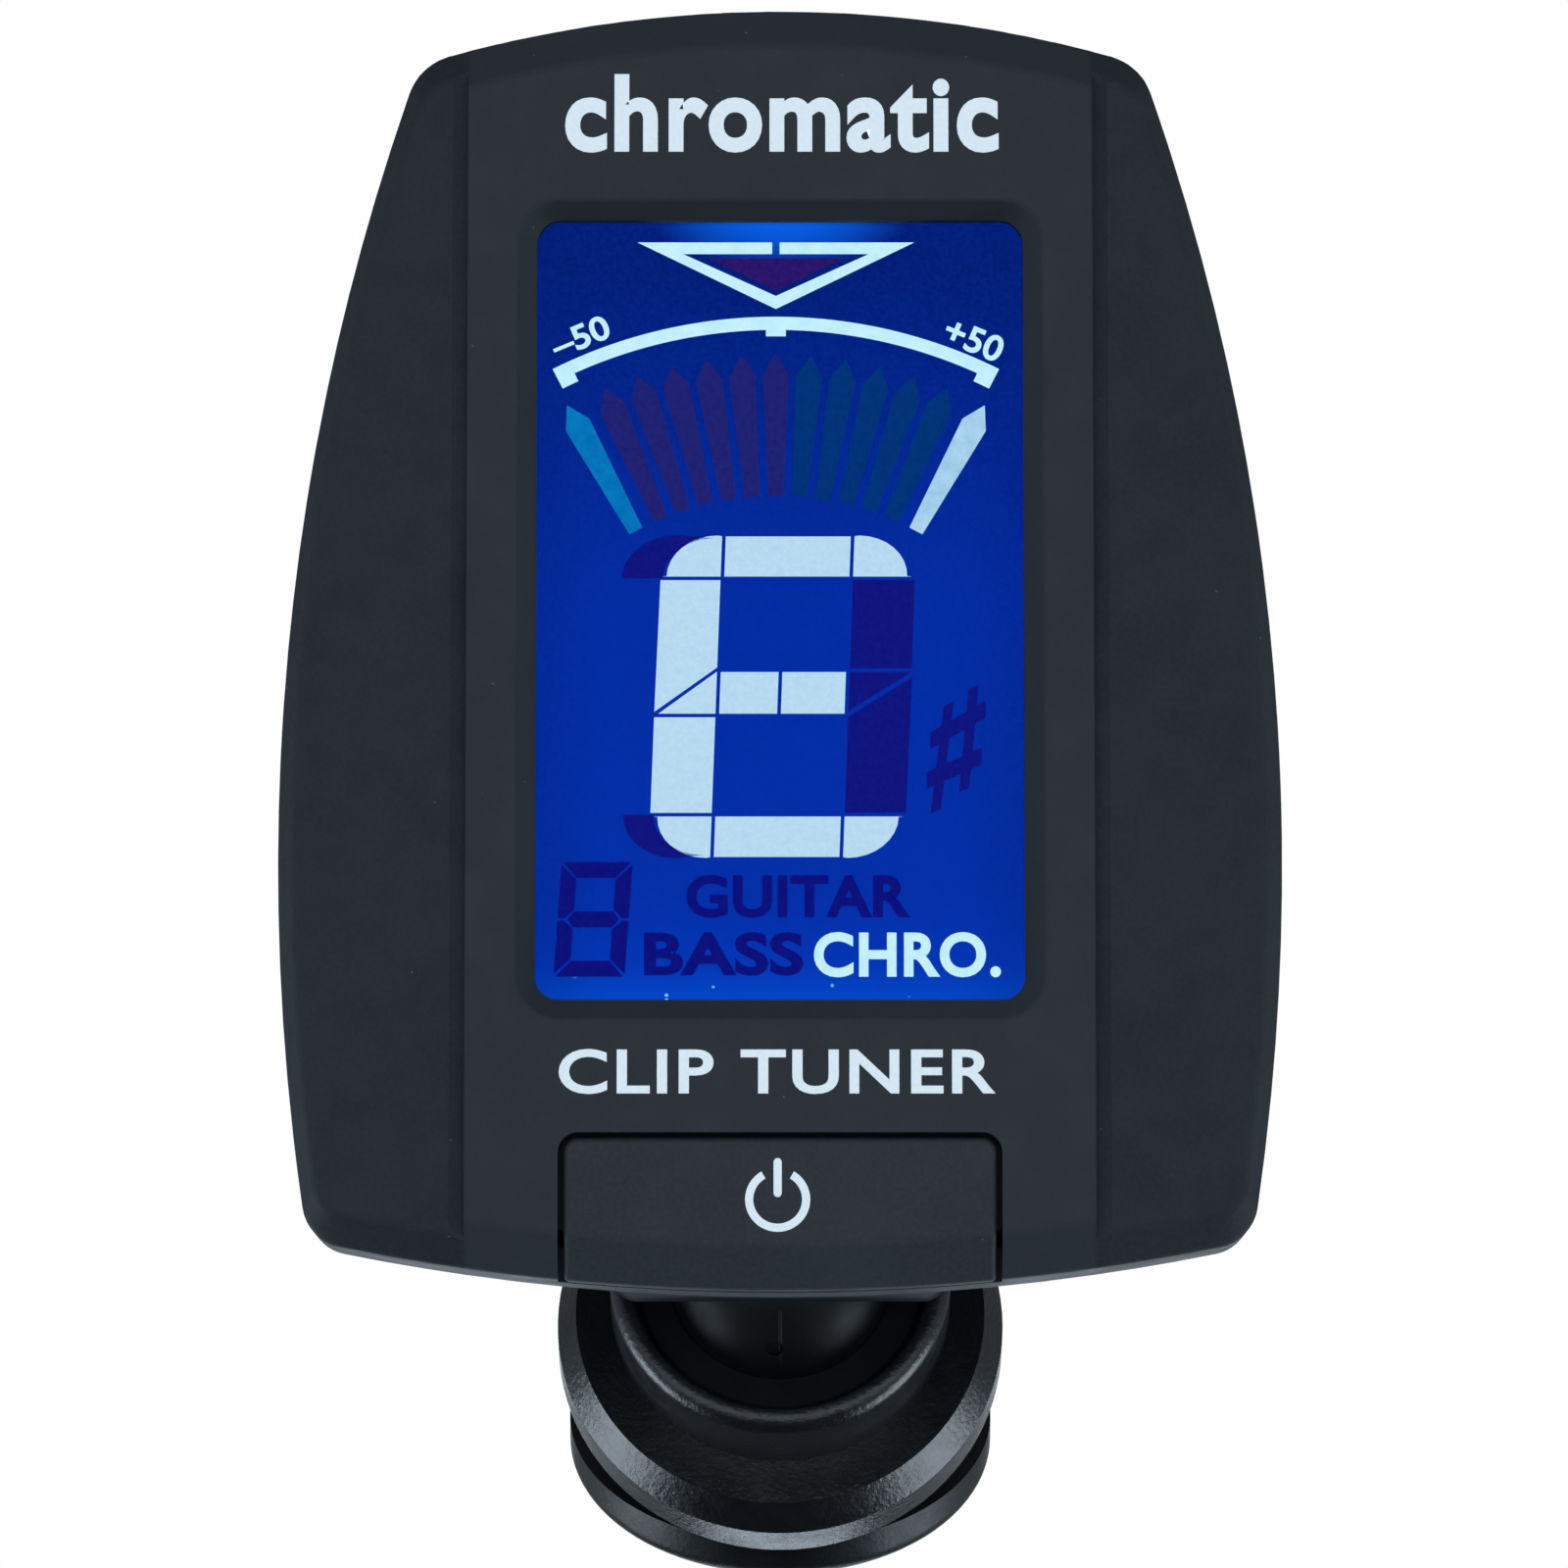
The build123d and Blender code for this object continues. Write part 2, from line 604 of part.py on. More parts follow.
def make_power_button():
    cap = rounded_rect(BUTTON_HALF, -BUTTON_TOP, BUTTON_TOP, BUTTON_CORNER)
    button = front_outer() & slab(cap, -CUT_MARGIN, BUTTON_FLOOR_BACK)
    button = fillet(button.edges().filter_by(is_button_rim), BUTTON_ROUND)
    inner = rounded_rect(BUTTON_HALF - BUTTON_WALL, WALL, BUTTON_TOP - BUTTON_WALL, BUTTON_CORNER)
    button -= slab(inner, BUTTON_WALL, BUTTON_FLOOR_BACK + CUT_MARGIN)
    reach = BUTTON_HALF + BUTTON_FLANGE_REACH
    flange = rounded_rect(reach, BUTTON_FLANGE_BOTTOM, BUTTON_TOP + BUTTON_FLANGE_REACH, BUTTON_CORNER)
    button += slab(flange, BUTTON_FLANGE_FRONT, BUTTON_FLANGE_BACK)
    button -= slab(inner, BUTTON_FLANGE_FRONT, BUTTON_FLANGE_BACK)
    return button + rod(STEM_RADIUS, BUTTON_WALL, STEM_FRONT, 0, SWITCH_HEIGHT)


# ---- Piezo pickup ----
def make_piezo_sensor():
    back = REAR_DEPTH - REAR_WALL
    brass = rod(PIEZO_RADIUS, back - PIEZO_THICK, back, 0, PIEZO_HEIGHT)
    return brass + rod(PIEZO_CERAMIC_RADIUS, back - 2 * PIEZO_THICK, back - PIEZO_THICK, 0, PIEZO_HEIGHT)


def make_piezo_leads():
    face = REAR_DEPTH - REAR_WALL - 2 * PIEZO_THICK
    height = PIEZO_HEIGHT - PIEZO_LEAD_DROP
    return Compound(children=[rod(PIEZO_LEAD_RADIUS, BOARD_BACK, face, side * PIEZO_LEAD_ASIDE, height)
                              for side in (-1, 1)])


# ---- Battery ----
def make_coin_cell():
    step = CELL_FRONT + CELL_STEP
    can = rod(CELL_RADIUS, step, CELL_FRONT + CELL_THICK, 0, CELL_HEIGHT)
    can = fillet(can.faces().sort_by(Axis.Y)[-1].edges(), CELL_ROUND)
    return can + cone(CELL_POLE_FRONT_RADIUS, CELL_POLE_BACK_RADIUS, CELL_FRONT, step, CELL_HEIGHT)


def make_battery_contact_negative():
    half = (-CONTACT_HALF, CONTACT_HALF)
    leaf = block(half, (TRAY_FLOOR_BACK, CELL_FRONT), (NEGATIVE_FOOT[0], NEGATIVE_TOP))
    return leaf + block(half, (BOARD_BACK, CELL_FRONT), NEGATIVE_FOOT)


def positive_slot():
    """The slot in the tray's wall for the positive contact."""
    near = CELL_RADIUS + POSITIVE_SLOT_NEAR
    half = POSITIVE_HALF + CONTACT_SLOT_GAP
    heights = (CELL_HEIGHT - half, CELL_HEIGHT + half)
    return block((near, near + POSITIVE_SLOT_WIDE), (BOARD_BACK, DECK_BACK), heights)


def make_battery_contact_positive():
    near = CELL_RADIUS + POSITIVE_GAP
    heights = (CELL_HEIGHT - POSITIVE_HALF, CELL_HEIGHT + POSITIVE_HALF)
    return block((near, near + POSITIVE_THICK), (BOARD_BACK, DECK_BACK - POSITIVE_GAP), heights)


# ---- Screws ----
def pan_screw(radius, tip, seat, head_radius, head_thick, x=0.0, z=0.0):
    """A pan-head screw along y: its tip in front, its head behind the seat."""
    head = rod(head_radius, seat, seat + head_thick, x, z)
    head = fillet(head.faces().sort_by(Axis.Y)[-1].edges(), HEAD_ROUND_SHARE * head_thick)
    arm = DRIVE_ARM_SHARE * head_radius
    slot = DRIVE_SLOT_SHARE * head_radius
    depth = (seat + (1 - DRIVE_DEPTH_SHARE) * head_thick, seat + head_thick)
    head -= block((x - arm, x + arm), depth, (z - slot, z + slot))
    head -= block((x - slot, x + slot), depth, (z - arm, z + arm))
    return head + rod(radius, tip, seat, x, z)


def make_shell_screws():
    screws = [pan_screw(SHELL_SCREW_RADIUS, seat - SHELL_SCREW_LENGTH, seat, SHELL_HEAD_RADIUS,
                        SHELL_HEAD_THICK, x, z) for x, z, seat in SHELL_SCREWS]
    return Compound(children=screws)


def make_board_screws():
    screws = [pan_screw(BOARD_SCREW_RADIUS, BOARD_SCREW_TIP, BOARD_BACK, BOARD_HEAD_RADIUS,
                        BOARD_HEAD_THICK, x, z) for x, z in BOARD_SCREWS]
    return Compound(children=screws)


# ---- Ball joint ----
def make_ball_stud():
    ball = Sphere(BALL_RADIUS) - rod(BALL_RADIUS, BALL_BACK_FLAT, BALL_RADIUS)
    neck = rod(NECK_RADIUS, -STUD_SEAT - RUNNING_GAP, -NECK_END)
    seat = -STUD_SEAT - RUNNING_GAP - WASHER_THICK
    stud = ball + neck - rod(STUD_SCREW_RADIUS, seat, seat + WASHER_THICK + STUD_SCREW_LENGTH)
    gate = Pos(-GATE_ASIDE, -BALL_RADIUS, 0) * Rot(X=90) * Cylinder(GATE_RADIUS, 2 * GATE_DEPTH)
    return FRONT_JAW * (stud - Rot(X=GATE_ANGLE) * gate)


def make_stud_washer():
    front = -STUD_SEAT - RUNNING_GAP - WASHER_THICK
    ring = rod(WASHER_RADIUS, front, front + WASHER_THICK) - rod(STUD_SCREW_RADIUS, front, 0)
    return FRONT_JAW * ring


def make_stud_screw():
    seat = STUD_SEAT + RUNNING_GAP + WASHER_THICK
    tip = seat - WASHER_THICK - STUD_SCREW_LENGTH
    screw = pan_screw(STUD_SCREW_RADIUS, tip, seat, STUD_HEAD_RADIUS, STUD_HEAD_THICK)
    return FRONT_JAW * mirror(screw, about=Plane.XZ)


def make_socket_bush():
    bush = rod(BUSH_RADIUS, SOCKET_FRONT, SOCKET_BACK)
    bush = chamfer(bush.faces().sort_by(Axis.Y)[0].edges(), BUSH_CHAMFER)
    return FRONT_JAW * (bush - Sphere(SOCKET_RADIUS))


# ---- Clip ----
def lever(z_low, z_high, y_front, y_back):
    """A finger lever that narrows towards its rounded end."""
    shape = Polygon((-LEVER_ROOT_HALF, z_low), (LEVER_ROOT_HALF, z_low), (LEVER_TIP_HALF, z_high),
                    (-LEVER_TIP_HALF, z_high), align=None)
    shape = fillet(shape.vertices().sort_by(Axis.Y)[-2:], LEVER_TIP_ROUND)
    plate = slab(shape, y_front, y_back)
    return fillet(plate.edges().filter_by(GeomType.LINE).sort_by(Axis.Z)[-2:], LEVER_TIP_EDGE)


def ridges(y, z_top):
    """Finger ridges across a lever's outer face."""
    bar = Rot(Y=90) * Cylinder(RIDGE_RADIUS, 2 * (LEVER_TIP_HALF - RIDGE_END_INSET))
    first = z_top - RIDGE_FROM_TIP
    return [Pos(0, y, first - RIDGE_PITCH * index) * bar for index in range(RIDGE_COUNT)]


def lug_pair(hinge_y, hinge_z, root_y, x_span):
    """Two ears that carry the hinge pin."""
    root = Line((root_y, hinge_z - LUG_HALF_ROOT), (root_y, hinge_z + LUG_HALF_ROOT))
    eye = Pos(hinge_y, hinge_z) * Circle(LUG_RADIUS)
    ear = cheek(make_hull(root.edges() + eye.edges()), *x_span)
    return ear + mirror(ear, about=Plane.YZ)


def hinge_bore(radius, y, z):
    return Pos(0, y, z) * Rot(Y=90) * Cylinder(radius, HOUSING_WIDTH)


def make_front_jaw():
    disc = cone(DISC_FLAT_RADIUS, DISC_RADIUS, DISC_FACE, DISC_EDGE_FRONT, -DISC_DROP)
    disc += rod(DISC_RADIUS, DISC_EDGE_FRONT, DISC_BACK, 0, -DISC_DROP)
    cup = rod(CUP_RADIUS, CUP_FACE, DISC_FACE)
    cup = fillet(cup.faces().sort_by(Axis.Y)[0].edges(), CUP_LIP_ROUND)
    arm = lever(LEVER_ROOT, FRONT_LEVER_TOP, DISC_BACK - LEVER_THICK, DISC_BACK)
    jaw = disc + cup + arm
    for bar in ridges(DISC_BACK - LEVER_THICK, FRONT_LEVER_TOP):
        jaw += bar
    jaw += lug_pair(HINGE_BEHIND, HINGE_RISE, DISC_BACK - LUG_SUNK, FRONT_LUG)
    jaw -= rod(CUP_BORE, SOCKET_FRONT - RUNNING_GAP, CUP_FLOOR)
    jaw -= cone(CUP_LIP_BORE + CUP_LIP_FLARE, CUP_LIP_BORE, CUP_FACE, SOCKET_FRONT - RUNNING_GAP)
    jaw -= rod(PAD_RADIUS, DISC_BACK - PAD_SUNK, DISC_BACK + PAD_PROUD, 0, -DISC_DROP)
    jaw -= hinge_bore(FRONT_PIN_BORE, HINGE_BEHIND, HINGE_RISE)
    return FRONT_JAW * jaw


def grooved_pad(y_back, y_face, z):
    """A round rubber pad with ring grooves, whose grip face is at y_face."""
    inward = 1 if y_back > y_face else -1
    low, high = sorted((y_back, y_face))
    pad = rod(PAD_RADIUS, low, high, 0, z)
    floor = y_face + inward * PAD_GROOVE_DEPTH
    low, high = sorted((y_face, floor))
    for radius in PAD_GROOVES:
        ring = rod(radius + PAD_GROOVE_WIDTH / 2, low, high, 0, z)
        pad -= ring - rod(radius - PAD_GROOVE_WIDTH / 2, low, high, 0, z)
    return pad


def make_front_pad():
    return FRONT_JAW * grooved_pad(DISC_BACK - PAD_SUNK, DISC_BACK + PAD_PROUD, -DISC_DROP)


def make_rear_jaw():
    rim = REAR_PAD_BEHIND + PAD_PROUD
    disc = rod(REAR_DISC_RADIUS, rim, rim + REAR_DISC_THICK, 0, -HINGE_RISE)
    disc = fillet(disc.faces().sort_by(Axis.Y)[-1].edges(), REAR_DISC_ROUND)
    arm = lever(-HINGE_RISE + LEVER_ROOT, REAR_LEVER_TOP, rim, rim + LEVER_THICK)
    jaw = disc + arm
    for bar in ridges(rim + LEVER_THICK, REAR_LEVER_TOP):
        jaw += bar
    jaw += lug_pair(0, 0, rim + LUG_SUNK, REAR_LUG)
    jaw -= rod(PAD_RADIUS, rim - PAD_PROUD, rim + PAD_SUNK, 0, -HINGE_RISE)
    jaw -= hinge_bore(REAR_PIN_BORE, 0, 0)
    return REAR_JAW * jaw


def make_rear_pad():
    rim = REAR_PAD_BEHIND + PAD_PROUD
    return REAR_JAW * grooved_pad(rim + PAD_SUNK, REAR_PAD_BEHIND, -HINGE_RISE)


def make_hinge_pin():
    pin = Rot(Y=90) * Cylinder(PIN_RADIUS, 2 * PIN_HALF)
    head_centre = -FRONT_LUG[1] - PIN_HEAD_THICK / 2 - RUNNING_GAP
    head = Pos(head_centre, 0, 0) * Rot(Y=90) * Cylinder(PIN_HEAD_RADIUS, PIN_HEAD_THICK)
    return Pos(*HINGE) * (pin + head)


def wire(start, end):
    """A straight length of spring wire with rounded ends."""
    length = (end - start).length
    frame = Plane(origin=start, z_dir=end - start)
    straight = frame * Cylinder(WIRE_RADIUS, length, align=(Align.CENTER, Align.CENTER, Align.MIN))
    return straight + Pos(*start) * Sphere(WIRE_RADIUS) + Pos(*end) * Sphere(WIRE_RADIUS)


def on_coil(x, angle):
    """A point of the coil's centre line, about the hinge."""
    return Vector(x, COIL_RADIUS * math.cos(angle), COIL_RADIUS * math.sin(angle))


def make_torsion_spring():
    """Close-wound coil round the pin, with one leg against each lever."""
    centre = Vector(*HINGE)
    reach = HINGE_BEHIND - DISC_BACK - WIRE_RADIUS - LEG_TOUCH
    front_end = (FRONT_JAW * Pos(0, HINGE_BEHIND - reach, HINGE_RISE + LEG_RISE)).position - centre
    rear_end = (REAR_JAW * Pos(0, reach, LEG_RISE)).position - centre
    half_angle = math.acos(COIL_RADIUS / front_end.length)
    start_angle = math.atan2(front_end.Z, front_end.Y) + half_angle
    end_angle = math.atan2(rear_end.Z, rear_end.Y) - half_angle + 2 * math.pi
    turns = COIL_TURNS + (end_angle - start_angle) / (2 * math.pi)
    length = turns * COIL_PITCH

    coil_path = Helix(COIL_PITCH, length, COIL_RADIUS)
    start = Vector(COIL_RADIUS, 0, 0)
    section = Plane(origin=start, z_dir=coil_path % 0) * Circle(WIRE_RADIUS)
    coil = sweep(section, path=coil_path, is_frenet=True)
    # The helix rises along z from the x axis: lay it along x, starting at the front leg.
    lay = Plane(origin=(-length / 2, 0, 0), z_dir=(1, 0, 0),
                x_dir=(0, math.cos(start_angle), math.sin(start_angle)))
    coil = lay * coil

    front_leg = wire(on_coil(-length / 2, start_angle), Vector(-length / 2, front_end.Y, front_end.Z))
    rear_leg = wire(on_coil(length / 2, end_angle), Vector(length / 2, rear_end.Y, rear_end.Z))
    return Pos(*HINGE) * (coil + front_leg + rear_leg)


PARTS = {
    "front_shell": make_front_shell,
    "rear_shell": make_rear_shell,
    "battery_door": make_battery_door,
    "display_lens": make_display_lens,
    "lcd_panel": make_lcd_panel,
    "light_guide": make_light_guide,
    "reflector_sheet": make_reflector_sheet,
    "backlight_led": make_backlight_led,
    "zebra_connector": make_zebra_connector,
    "main_board": make_main_board,
    "tuner_chip": make_tuner_chip,
    "crystal": make_crystal,
    "capacitors": make_capacitors,
    "resistors": make_resistors,
    "tact_switch": make_tact_switch,
    "switch_plunger": make_switch_plunger,
    "power_button": make_power_button,
    "piezo_sensor": make_piezo_sensor,
    "piezo_leads": make_piezo_leads,
    "coin_cell": make_coin_cell,
    "battery_contact_negative": make_battery_contact_negative,
    "battery_contact_positive": make_battery_contact_positive,
    "shell_screws": make_shell_screws,
    "board_screws": make_board_screws,
    "ball_stud": make_ball_stud,
    "stud_washer": make_stud_washer,
    "stud_screw": make_stud_screw,
    "socket_bush": make_socket_bush,
    "front_jaw": make_front_jaw,
    "front_pad": make_front_pad,
    "rear_jaw": make_rear_jaw,
    "rear_pad": make_rear_pad,
    "hinge_pin": make_hinge_pin,
    "torsion_spring": make_torsion_spring,
}

os.makedirs("parts", exist_ok=True)
for name, make in PARTS.items():
    export_step(Pos(*(-ORIGIN)) * make(), f"parts/{name}.step")
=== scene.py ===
import json
import math

import bmesh
import bpy
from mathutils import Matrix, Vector


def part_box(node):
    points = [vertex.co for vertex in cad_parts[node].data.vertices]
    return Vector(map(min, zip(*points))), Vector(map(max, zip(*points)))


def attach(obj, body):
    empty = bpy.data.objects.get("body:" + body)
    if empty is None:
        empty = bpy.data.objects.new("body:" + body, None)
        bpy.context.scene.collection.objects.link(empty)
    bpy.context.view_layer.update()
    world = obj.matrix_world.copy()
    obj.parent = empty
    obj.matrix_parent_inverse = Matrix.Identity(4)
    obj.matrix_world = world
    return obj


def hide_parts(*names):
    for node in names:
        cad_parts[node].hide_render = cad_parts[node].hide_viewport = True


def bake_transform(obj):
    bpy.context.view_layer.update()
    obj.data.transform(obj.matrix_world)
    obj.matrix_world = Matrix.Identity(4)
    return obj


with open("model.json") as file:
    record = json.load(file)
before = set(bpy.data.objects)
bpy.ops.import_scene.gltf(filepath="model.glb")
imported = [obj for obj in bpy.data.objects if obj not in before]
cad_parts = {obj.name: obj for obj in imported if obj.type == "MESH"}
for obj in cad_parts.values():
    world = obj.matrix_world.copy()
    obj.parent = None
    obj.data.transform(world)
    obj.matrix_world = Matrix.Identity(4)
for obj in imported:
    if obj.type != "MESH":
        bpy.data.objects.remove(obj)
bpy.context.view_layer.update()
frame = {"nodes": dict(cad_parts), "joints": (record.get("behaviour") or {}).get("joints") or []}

NODES = frame["nodes"]
JOINTS = {joint["name"]: joint for joint in frame["joints"]}

# Lengths below are in millimetres in the housing's own frame, unless a name says otherwise:
# x to the right, y backwards from the front face, z up from the bottom of the housing.
MM = 0.001
MICRON = 1e-6
# The lens's lower edge lies this far above the bottom of the housing, which fixes the frame's zero height.
LENS_FOOT = 11.3
FACE_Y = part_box("front_shell")[0].y
ZERO_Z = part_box("display_lens")[0].z - LENS_FOOT * MM


def place(x, y, z):
    """A point of the housing's frame, in the shared frame in metres."""
    return Vector((x * MM, FACE_Y + y * MM, ZERO_Z + z * MM))


def srgb(red, green, blue):
    """A screen colour, 0 to 255 a channel, as the linear values that shaders take."""
    def linear(value):
        share = value / 255
        return share / 12.92 if share <= 0.04045 else ((share + 0.055) / 1.055) ** 2.4
    return (linear(red), linear(green), linear(blue), 1.0)


def scaled(colour, factor):
    """A lighter or darker copy of a colour."""
    return tuple(factor * value for value in colour[:3]) + (1.0,)


# ---- Shader nodes ----
def add_node(tree, kind, **settings):
    """A new node with its settings, in a material's or the world's tree."""
    node = tree.nodes.new(kind)
    for key, value in settings.items():
        setattr(node, key, value)
    return node


def map_range(tree, source, from_ends, to_ends, smooth=False):
    """Carry a value from one span to another, clamped at both ends."""
    node = add_node(tree, "ShaderNodeMapRange", interpolation_type="SMOOTHSTEP" if smooth else "LINEAR")
    tree.links.new(source, node.inputs["Value"])
    for key, number in zip(("From Min", "From Max", "To Min", "To Max"), (*from_ends, *to_ends)):
        node.inputs[key].default_value = number
    return node.outputs[0]


class Graph:
    """A material's node tree with short ways to add and join nodes."""

    def __init__(self, name):
        self.material = bpy.data.materials.new(name)
        self.material.use_nodes = True
        self.tree = self.material.node_tree
        self.tree.nodes.clear()
        self.output = self.add("ShaderNodeOutputMaterial")
        self.bsdf = self.add("ShaderNodeBsdfPrincipled")
        self.join(self.bsdf.outputs[0], self.output.inputs["Surface"])
        coordinates = self.add("ShaderNodeTexCoord")
        scale = self.add("ShaderNodeVectorMath", operation="SCALE")
        scale.inputs["Scale"].default_value = 1 / MM
        self.join(coordinates.outputs["Object"], scale.inputs[0])
        self.mm = scale.outputs[0]

    def add(self, kind, **settings):
        return add_node(self.tree, kind, **settings)

    def join(self, source, target):
        self.tree.links.new(source, target)

    def fixed(self, **values):
        """Set sockets of the principled shader; an underscore stands for a space in a socket's name."""
        for key, value in values.items():
            self.bsdf.inputs[key.replace("_", " ")].default_value = value

    def math(self, operation, *values):
        """One step of arithmetic on one or two values; each is a number or a socket."""
        node = self.add("ShaderNodeMath", operation=operation)
        for value, socket in zip(values, node.inputs):
            if isinstance(value, (int, float)):
                socket.default_value = value
            else:
                self.join(value, socket)
        return node.outputs[0]

    def noise(self, per_mm, detail=3.0, roughness=0.55, stretch=None):
        """Cloudy noise: its scale for each millimetre, finer along an axis that is stretched more."""
        node = self.add("ShaderNodeTexNoise")
        node.inputs["Scale"].default_value = per_mm
        node.inputs["Detail"].default_value = detail
        node.inputs["Roughness"].default_value = roughness
        source = self.mm
        if stretch:
            mapping = self.add("ShaderNodeMapping")
            mapping.inputs["Scale"].default_value = stretch
            self.join(source, mapping.inputs["Vector"])
            source = mapping.outputs[0]
        self.join(source, node.inputs["Vector"])
        return node.outputs["Fac"]

    def span(self, value, from_low, from_high, to_low=0.0, to_high=1.0, smooth=False):
        return map_range(self.tree, value, (from_low, from_high), (to_low, to_high), smooth)

    def mix(self, share, first, second):
        """Mix two colours; each is a colour or a socket."""
        node = self.add("ShaderNodeMix", data_type="RGBA")
        self.join(share, node.inputs["Factor"])
        for key, value in (("A", first), ("B", second)):
            socket = [s for s in node.inputs if s.name == key and s.type == "RGBA"][0]
            if isinstance(value, tuple):
                socket.default_value = value
            else:
                self.join(value, socket)
        return [s for s in node.outputs if s.type == "RGBA"][0]

    def axes(self):
        """The surface point's x, y and z in the shared frame, in millimetres."""
        node = self.add("ShaderNodeSeparateXYZ")
        self.join(self.mm, node.inputs[0])
        return node.outputs

    def specks(self, per_mm, radius, keep):
        """A mask of scattered round specks, with only some of the cells used."""
        cells = self.add("ShaderNodeTexVoronoi")
        cells.inputs["Scale"].default_value = per_mm
        self.join(self.mm, cells.inputs["Vector"])
        near = self.math("LESS_THAN", cells.outputs["Distance"], radius * per_mm)
        pick = self.add("ShaderNodeSeparateColor")
        self.join(cells.outputs["Color"], pick.inputs[0])
        chosen = self.math("LESS_THAN", pick.outputs[0], keep)
        return self.math("MULTIPLY", near, chosen)

    def colour(self, socket):
        self.join(socket, self.bsdf.inputs["Base Color"])

    def rough(self, per_mm, low, high, detail=3.0, stretch=None):
        """Roughness that wanders between two values."""
        value = self.span(self.noise(per_mm, detail, stretch=stretch), 0.3, 0.7, low, high)
        self.join(value, self.bsdf.inputs["Roughness"])

    def bump(self, height, microns, under=None):
        """Bump from a height map; another bump's normal may lie under it."""
        node = self.add("ShaderNodeBump")
        node.inputs["Strength"].default_value = 1.0
        node.inputs["Distance"].default_value = microns * MICRON
        self.join(height, node.inputs["Height"])
        if under:
            self.join(under, node.inputs["Normal"])
        self.join(node.outputs[0], self.bsdf.inputs["Normal"])
        return node.outputs[0]


# ---- Housing and clip plastics ----
# Half the width of the housing's raised middle panel, which is painted lighter as painted light, and of the
# soft edge between the two shades there.
PANEL_HALF = 13.2
PANEL_EDGE_HALF = 0.1
# The block that holds the stalk is painted black as painted shade behind one depth and below one height, each
# with a soft edge.
BLOCK_SHADE_START = 10.4
BLOCK_SHADE_TOP = 1.2
BLOCK_SHADE_EDGE = 0.6
CHARCOAL = (0.028, 0.035, 0.042, 1.0)
# A lighter charcoal, painted on the raised middle panel and the button as painted light.
CHARCOAL_PAINTED_LIT = (0.042, 0.050, 0.059, 1.0)
# The clip plastics' own black, also used as the painted shade on the stalk's block.
BLACK_AND_PAINTED_SHADE = (0.005, 0.0065, 0.008, 1.0)
DUST = srgb(150, 152, 155)
WORN_DUST = srgb(120, 122, 125)


def soft_touch(name, base, middle=None, painted_block_shade=False):
    """Matt soft-touch coating: fine grain, faint clouds and a few dust specks.

    The raised panel can be painted a lighter colour as painted light, and the stalk's block painted black as
    painted shade."""
    g = Graph(name)
    g.fixed(Specular_IOR_Level=0.28)
    cloud = g.span(g.noise(0.16, detail=4.0), 0.35, 0.65)
    shade = g.mix(cloud, scaled(base, 0.86), base)
    if middle:
        # Painted light: the raised middle panel is painted lighter than the side panels.
        aside = g.math("ABSOLUTE", g.axes()[0])
        raised = g.span(aside, PANEL_HALF - PANEL_EDGE_HALF, PANEL_HALF + PANEL_EDGE_HALF, 1.0, 0.0, True)
        shade = g.mix(raised, shade, g.mix(cloud, scaled(middle, 0.9), middle))
    grain = g.noise(5.0, detail=2.0)
    shade = g.mix(g.span(grain, 0.35, 0.75, 0.0, 0.25), shade, scaled(base, 1.8))
    dust = g.specks(per_mm=0.6, radius=0.05, keep=0.8)
    shade = g.mix(g.math("MULTIPLY", dust, 0.3), shade, DUST)
    if painted_block_shade:
        # Painted shade: the block's underside behind the stalk is painted black.
        _, y, z = g.axes()
        start = FACE_Y / MM + BLOCK_SHADE_START
        top = ZERO_Z / MM + BLOCK_SHADE_TOP
        deep = g.span(y, start, start + BLOCK_SHADE_EDGE)
        low = g.span(z, top, top + BLOCK_SHADE_EDGE, 1.0, 0.0)
        shade = g.mix(g.math("MULTIPLY", deep, low), shade, BLACK_AND_PAINTED_SHADE)
    g.colour(shade)
    g.rough(0.5, low=0.55, high=0.68)
    coarse = g.bump(g.noise(1.1, detail=2.0), microns=4.0)
    g.bump(grain, microns=9.0, under=coarse)
    return g.material


def moulded(name, base, rough, grain_per_mm, microns, specular=0.5, seam=False):
    """Injection-moulded plastic with a spark-eroded grain and uneven gloss.

    A seam is a fine ridge along x = 0."""
    g = Graph(name)
    g.fixed(Specular_IOR_Level=specular)
    cloud = g.span(g.noise(0.35, detail=5.0, roughness=0.6), 0.35, 0.7)
    shade = g.mix(cloud, base, scaled(base, 1.7))
    dust = g.specks(per_mm=0.6, radius=0.04, keep=0.8)
    g.colour(g.mix(g.math("MULTIPLY", dust, 0.2), shade, WORN_DUST))
    g.rough(0.8, *rough, detail=5.0)
    under = g.bump(g.noise(grain_per_mm, detail=2.0, roughness=0.6), microns)
    if seam:
        ridge = g.span(g.math("ABSOLUTE", g.axes()[0]), 0.0, 0.09, 1.0, 0.0, True)
        under = g.bump(ridge, microns=35.0, under=under)
    g.bump(g.noise(0.5, detail=1.0), microns * 0.8, under)
    return g.material


# ---- Other materials ----
def rubber(name, base):
    """Matt rubber with a dusty bloom."""
    g = Graph(name)
    g.fixed(Specular_IOR_Level=0.25, Sheen_Weight=0.15, Sheen_Roughness=0.5)
    dusty = g.span(g.noise(0.7, detail=6.0, roughness=0.65), 0.45, 0.75, 0.0, 0.5)
    g.colour(g.mix(dusty, base, scaled(base, 2.2)))
    g.rough(1.2, low=0.72, high=0.9)
    g.bump(g.noise(6.0, detail=2.0), microns=10.0)
    return g.material


def metal(name, base, stain, rough, grain_per_mm, stretch=(1.0, 1.0, 1.0)):
    """Plated metal with faint stains; a stretched grain makes drawing or rolling lines."""
    g = Graph(name)
    g.fixed(Metallic=1.0)
    stained = g.span(g.noise(0.5, detail=5.0, roughness=0.6), 0.45, 0.75, 0.0, 0.8)
    g.colour(g.mix(stained, base, stain))
    g.rough(1.5, *rough, detail=5.0, stretch=stretch)
    g.bump(g.noise(grain_per_mm, detail=2.0, stretch=stretch), microns=4.0)
    return g.material


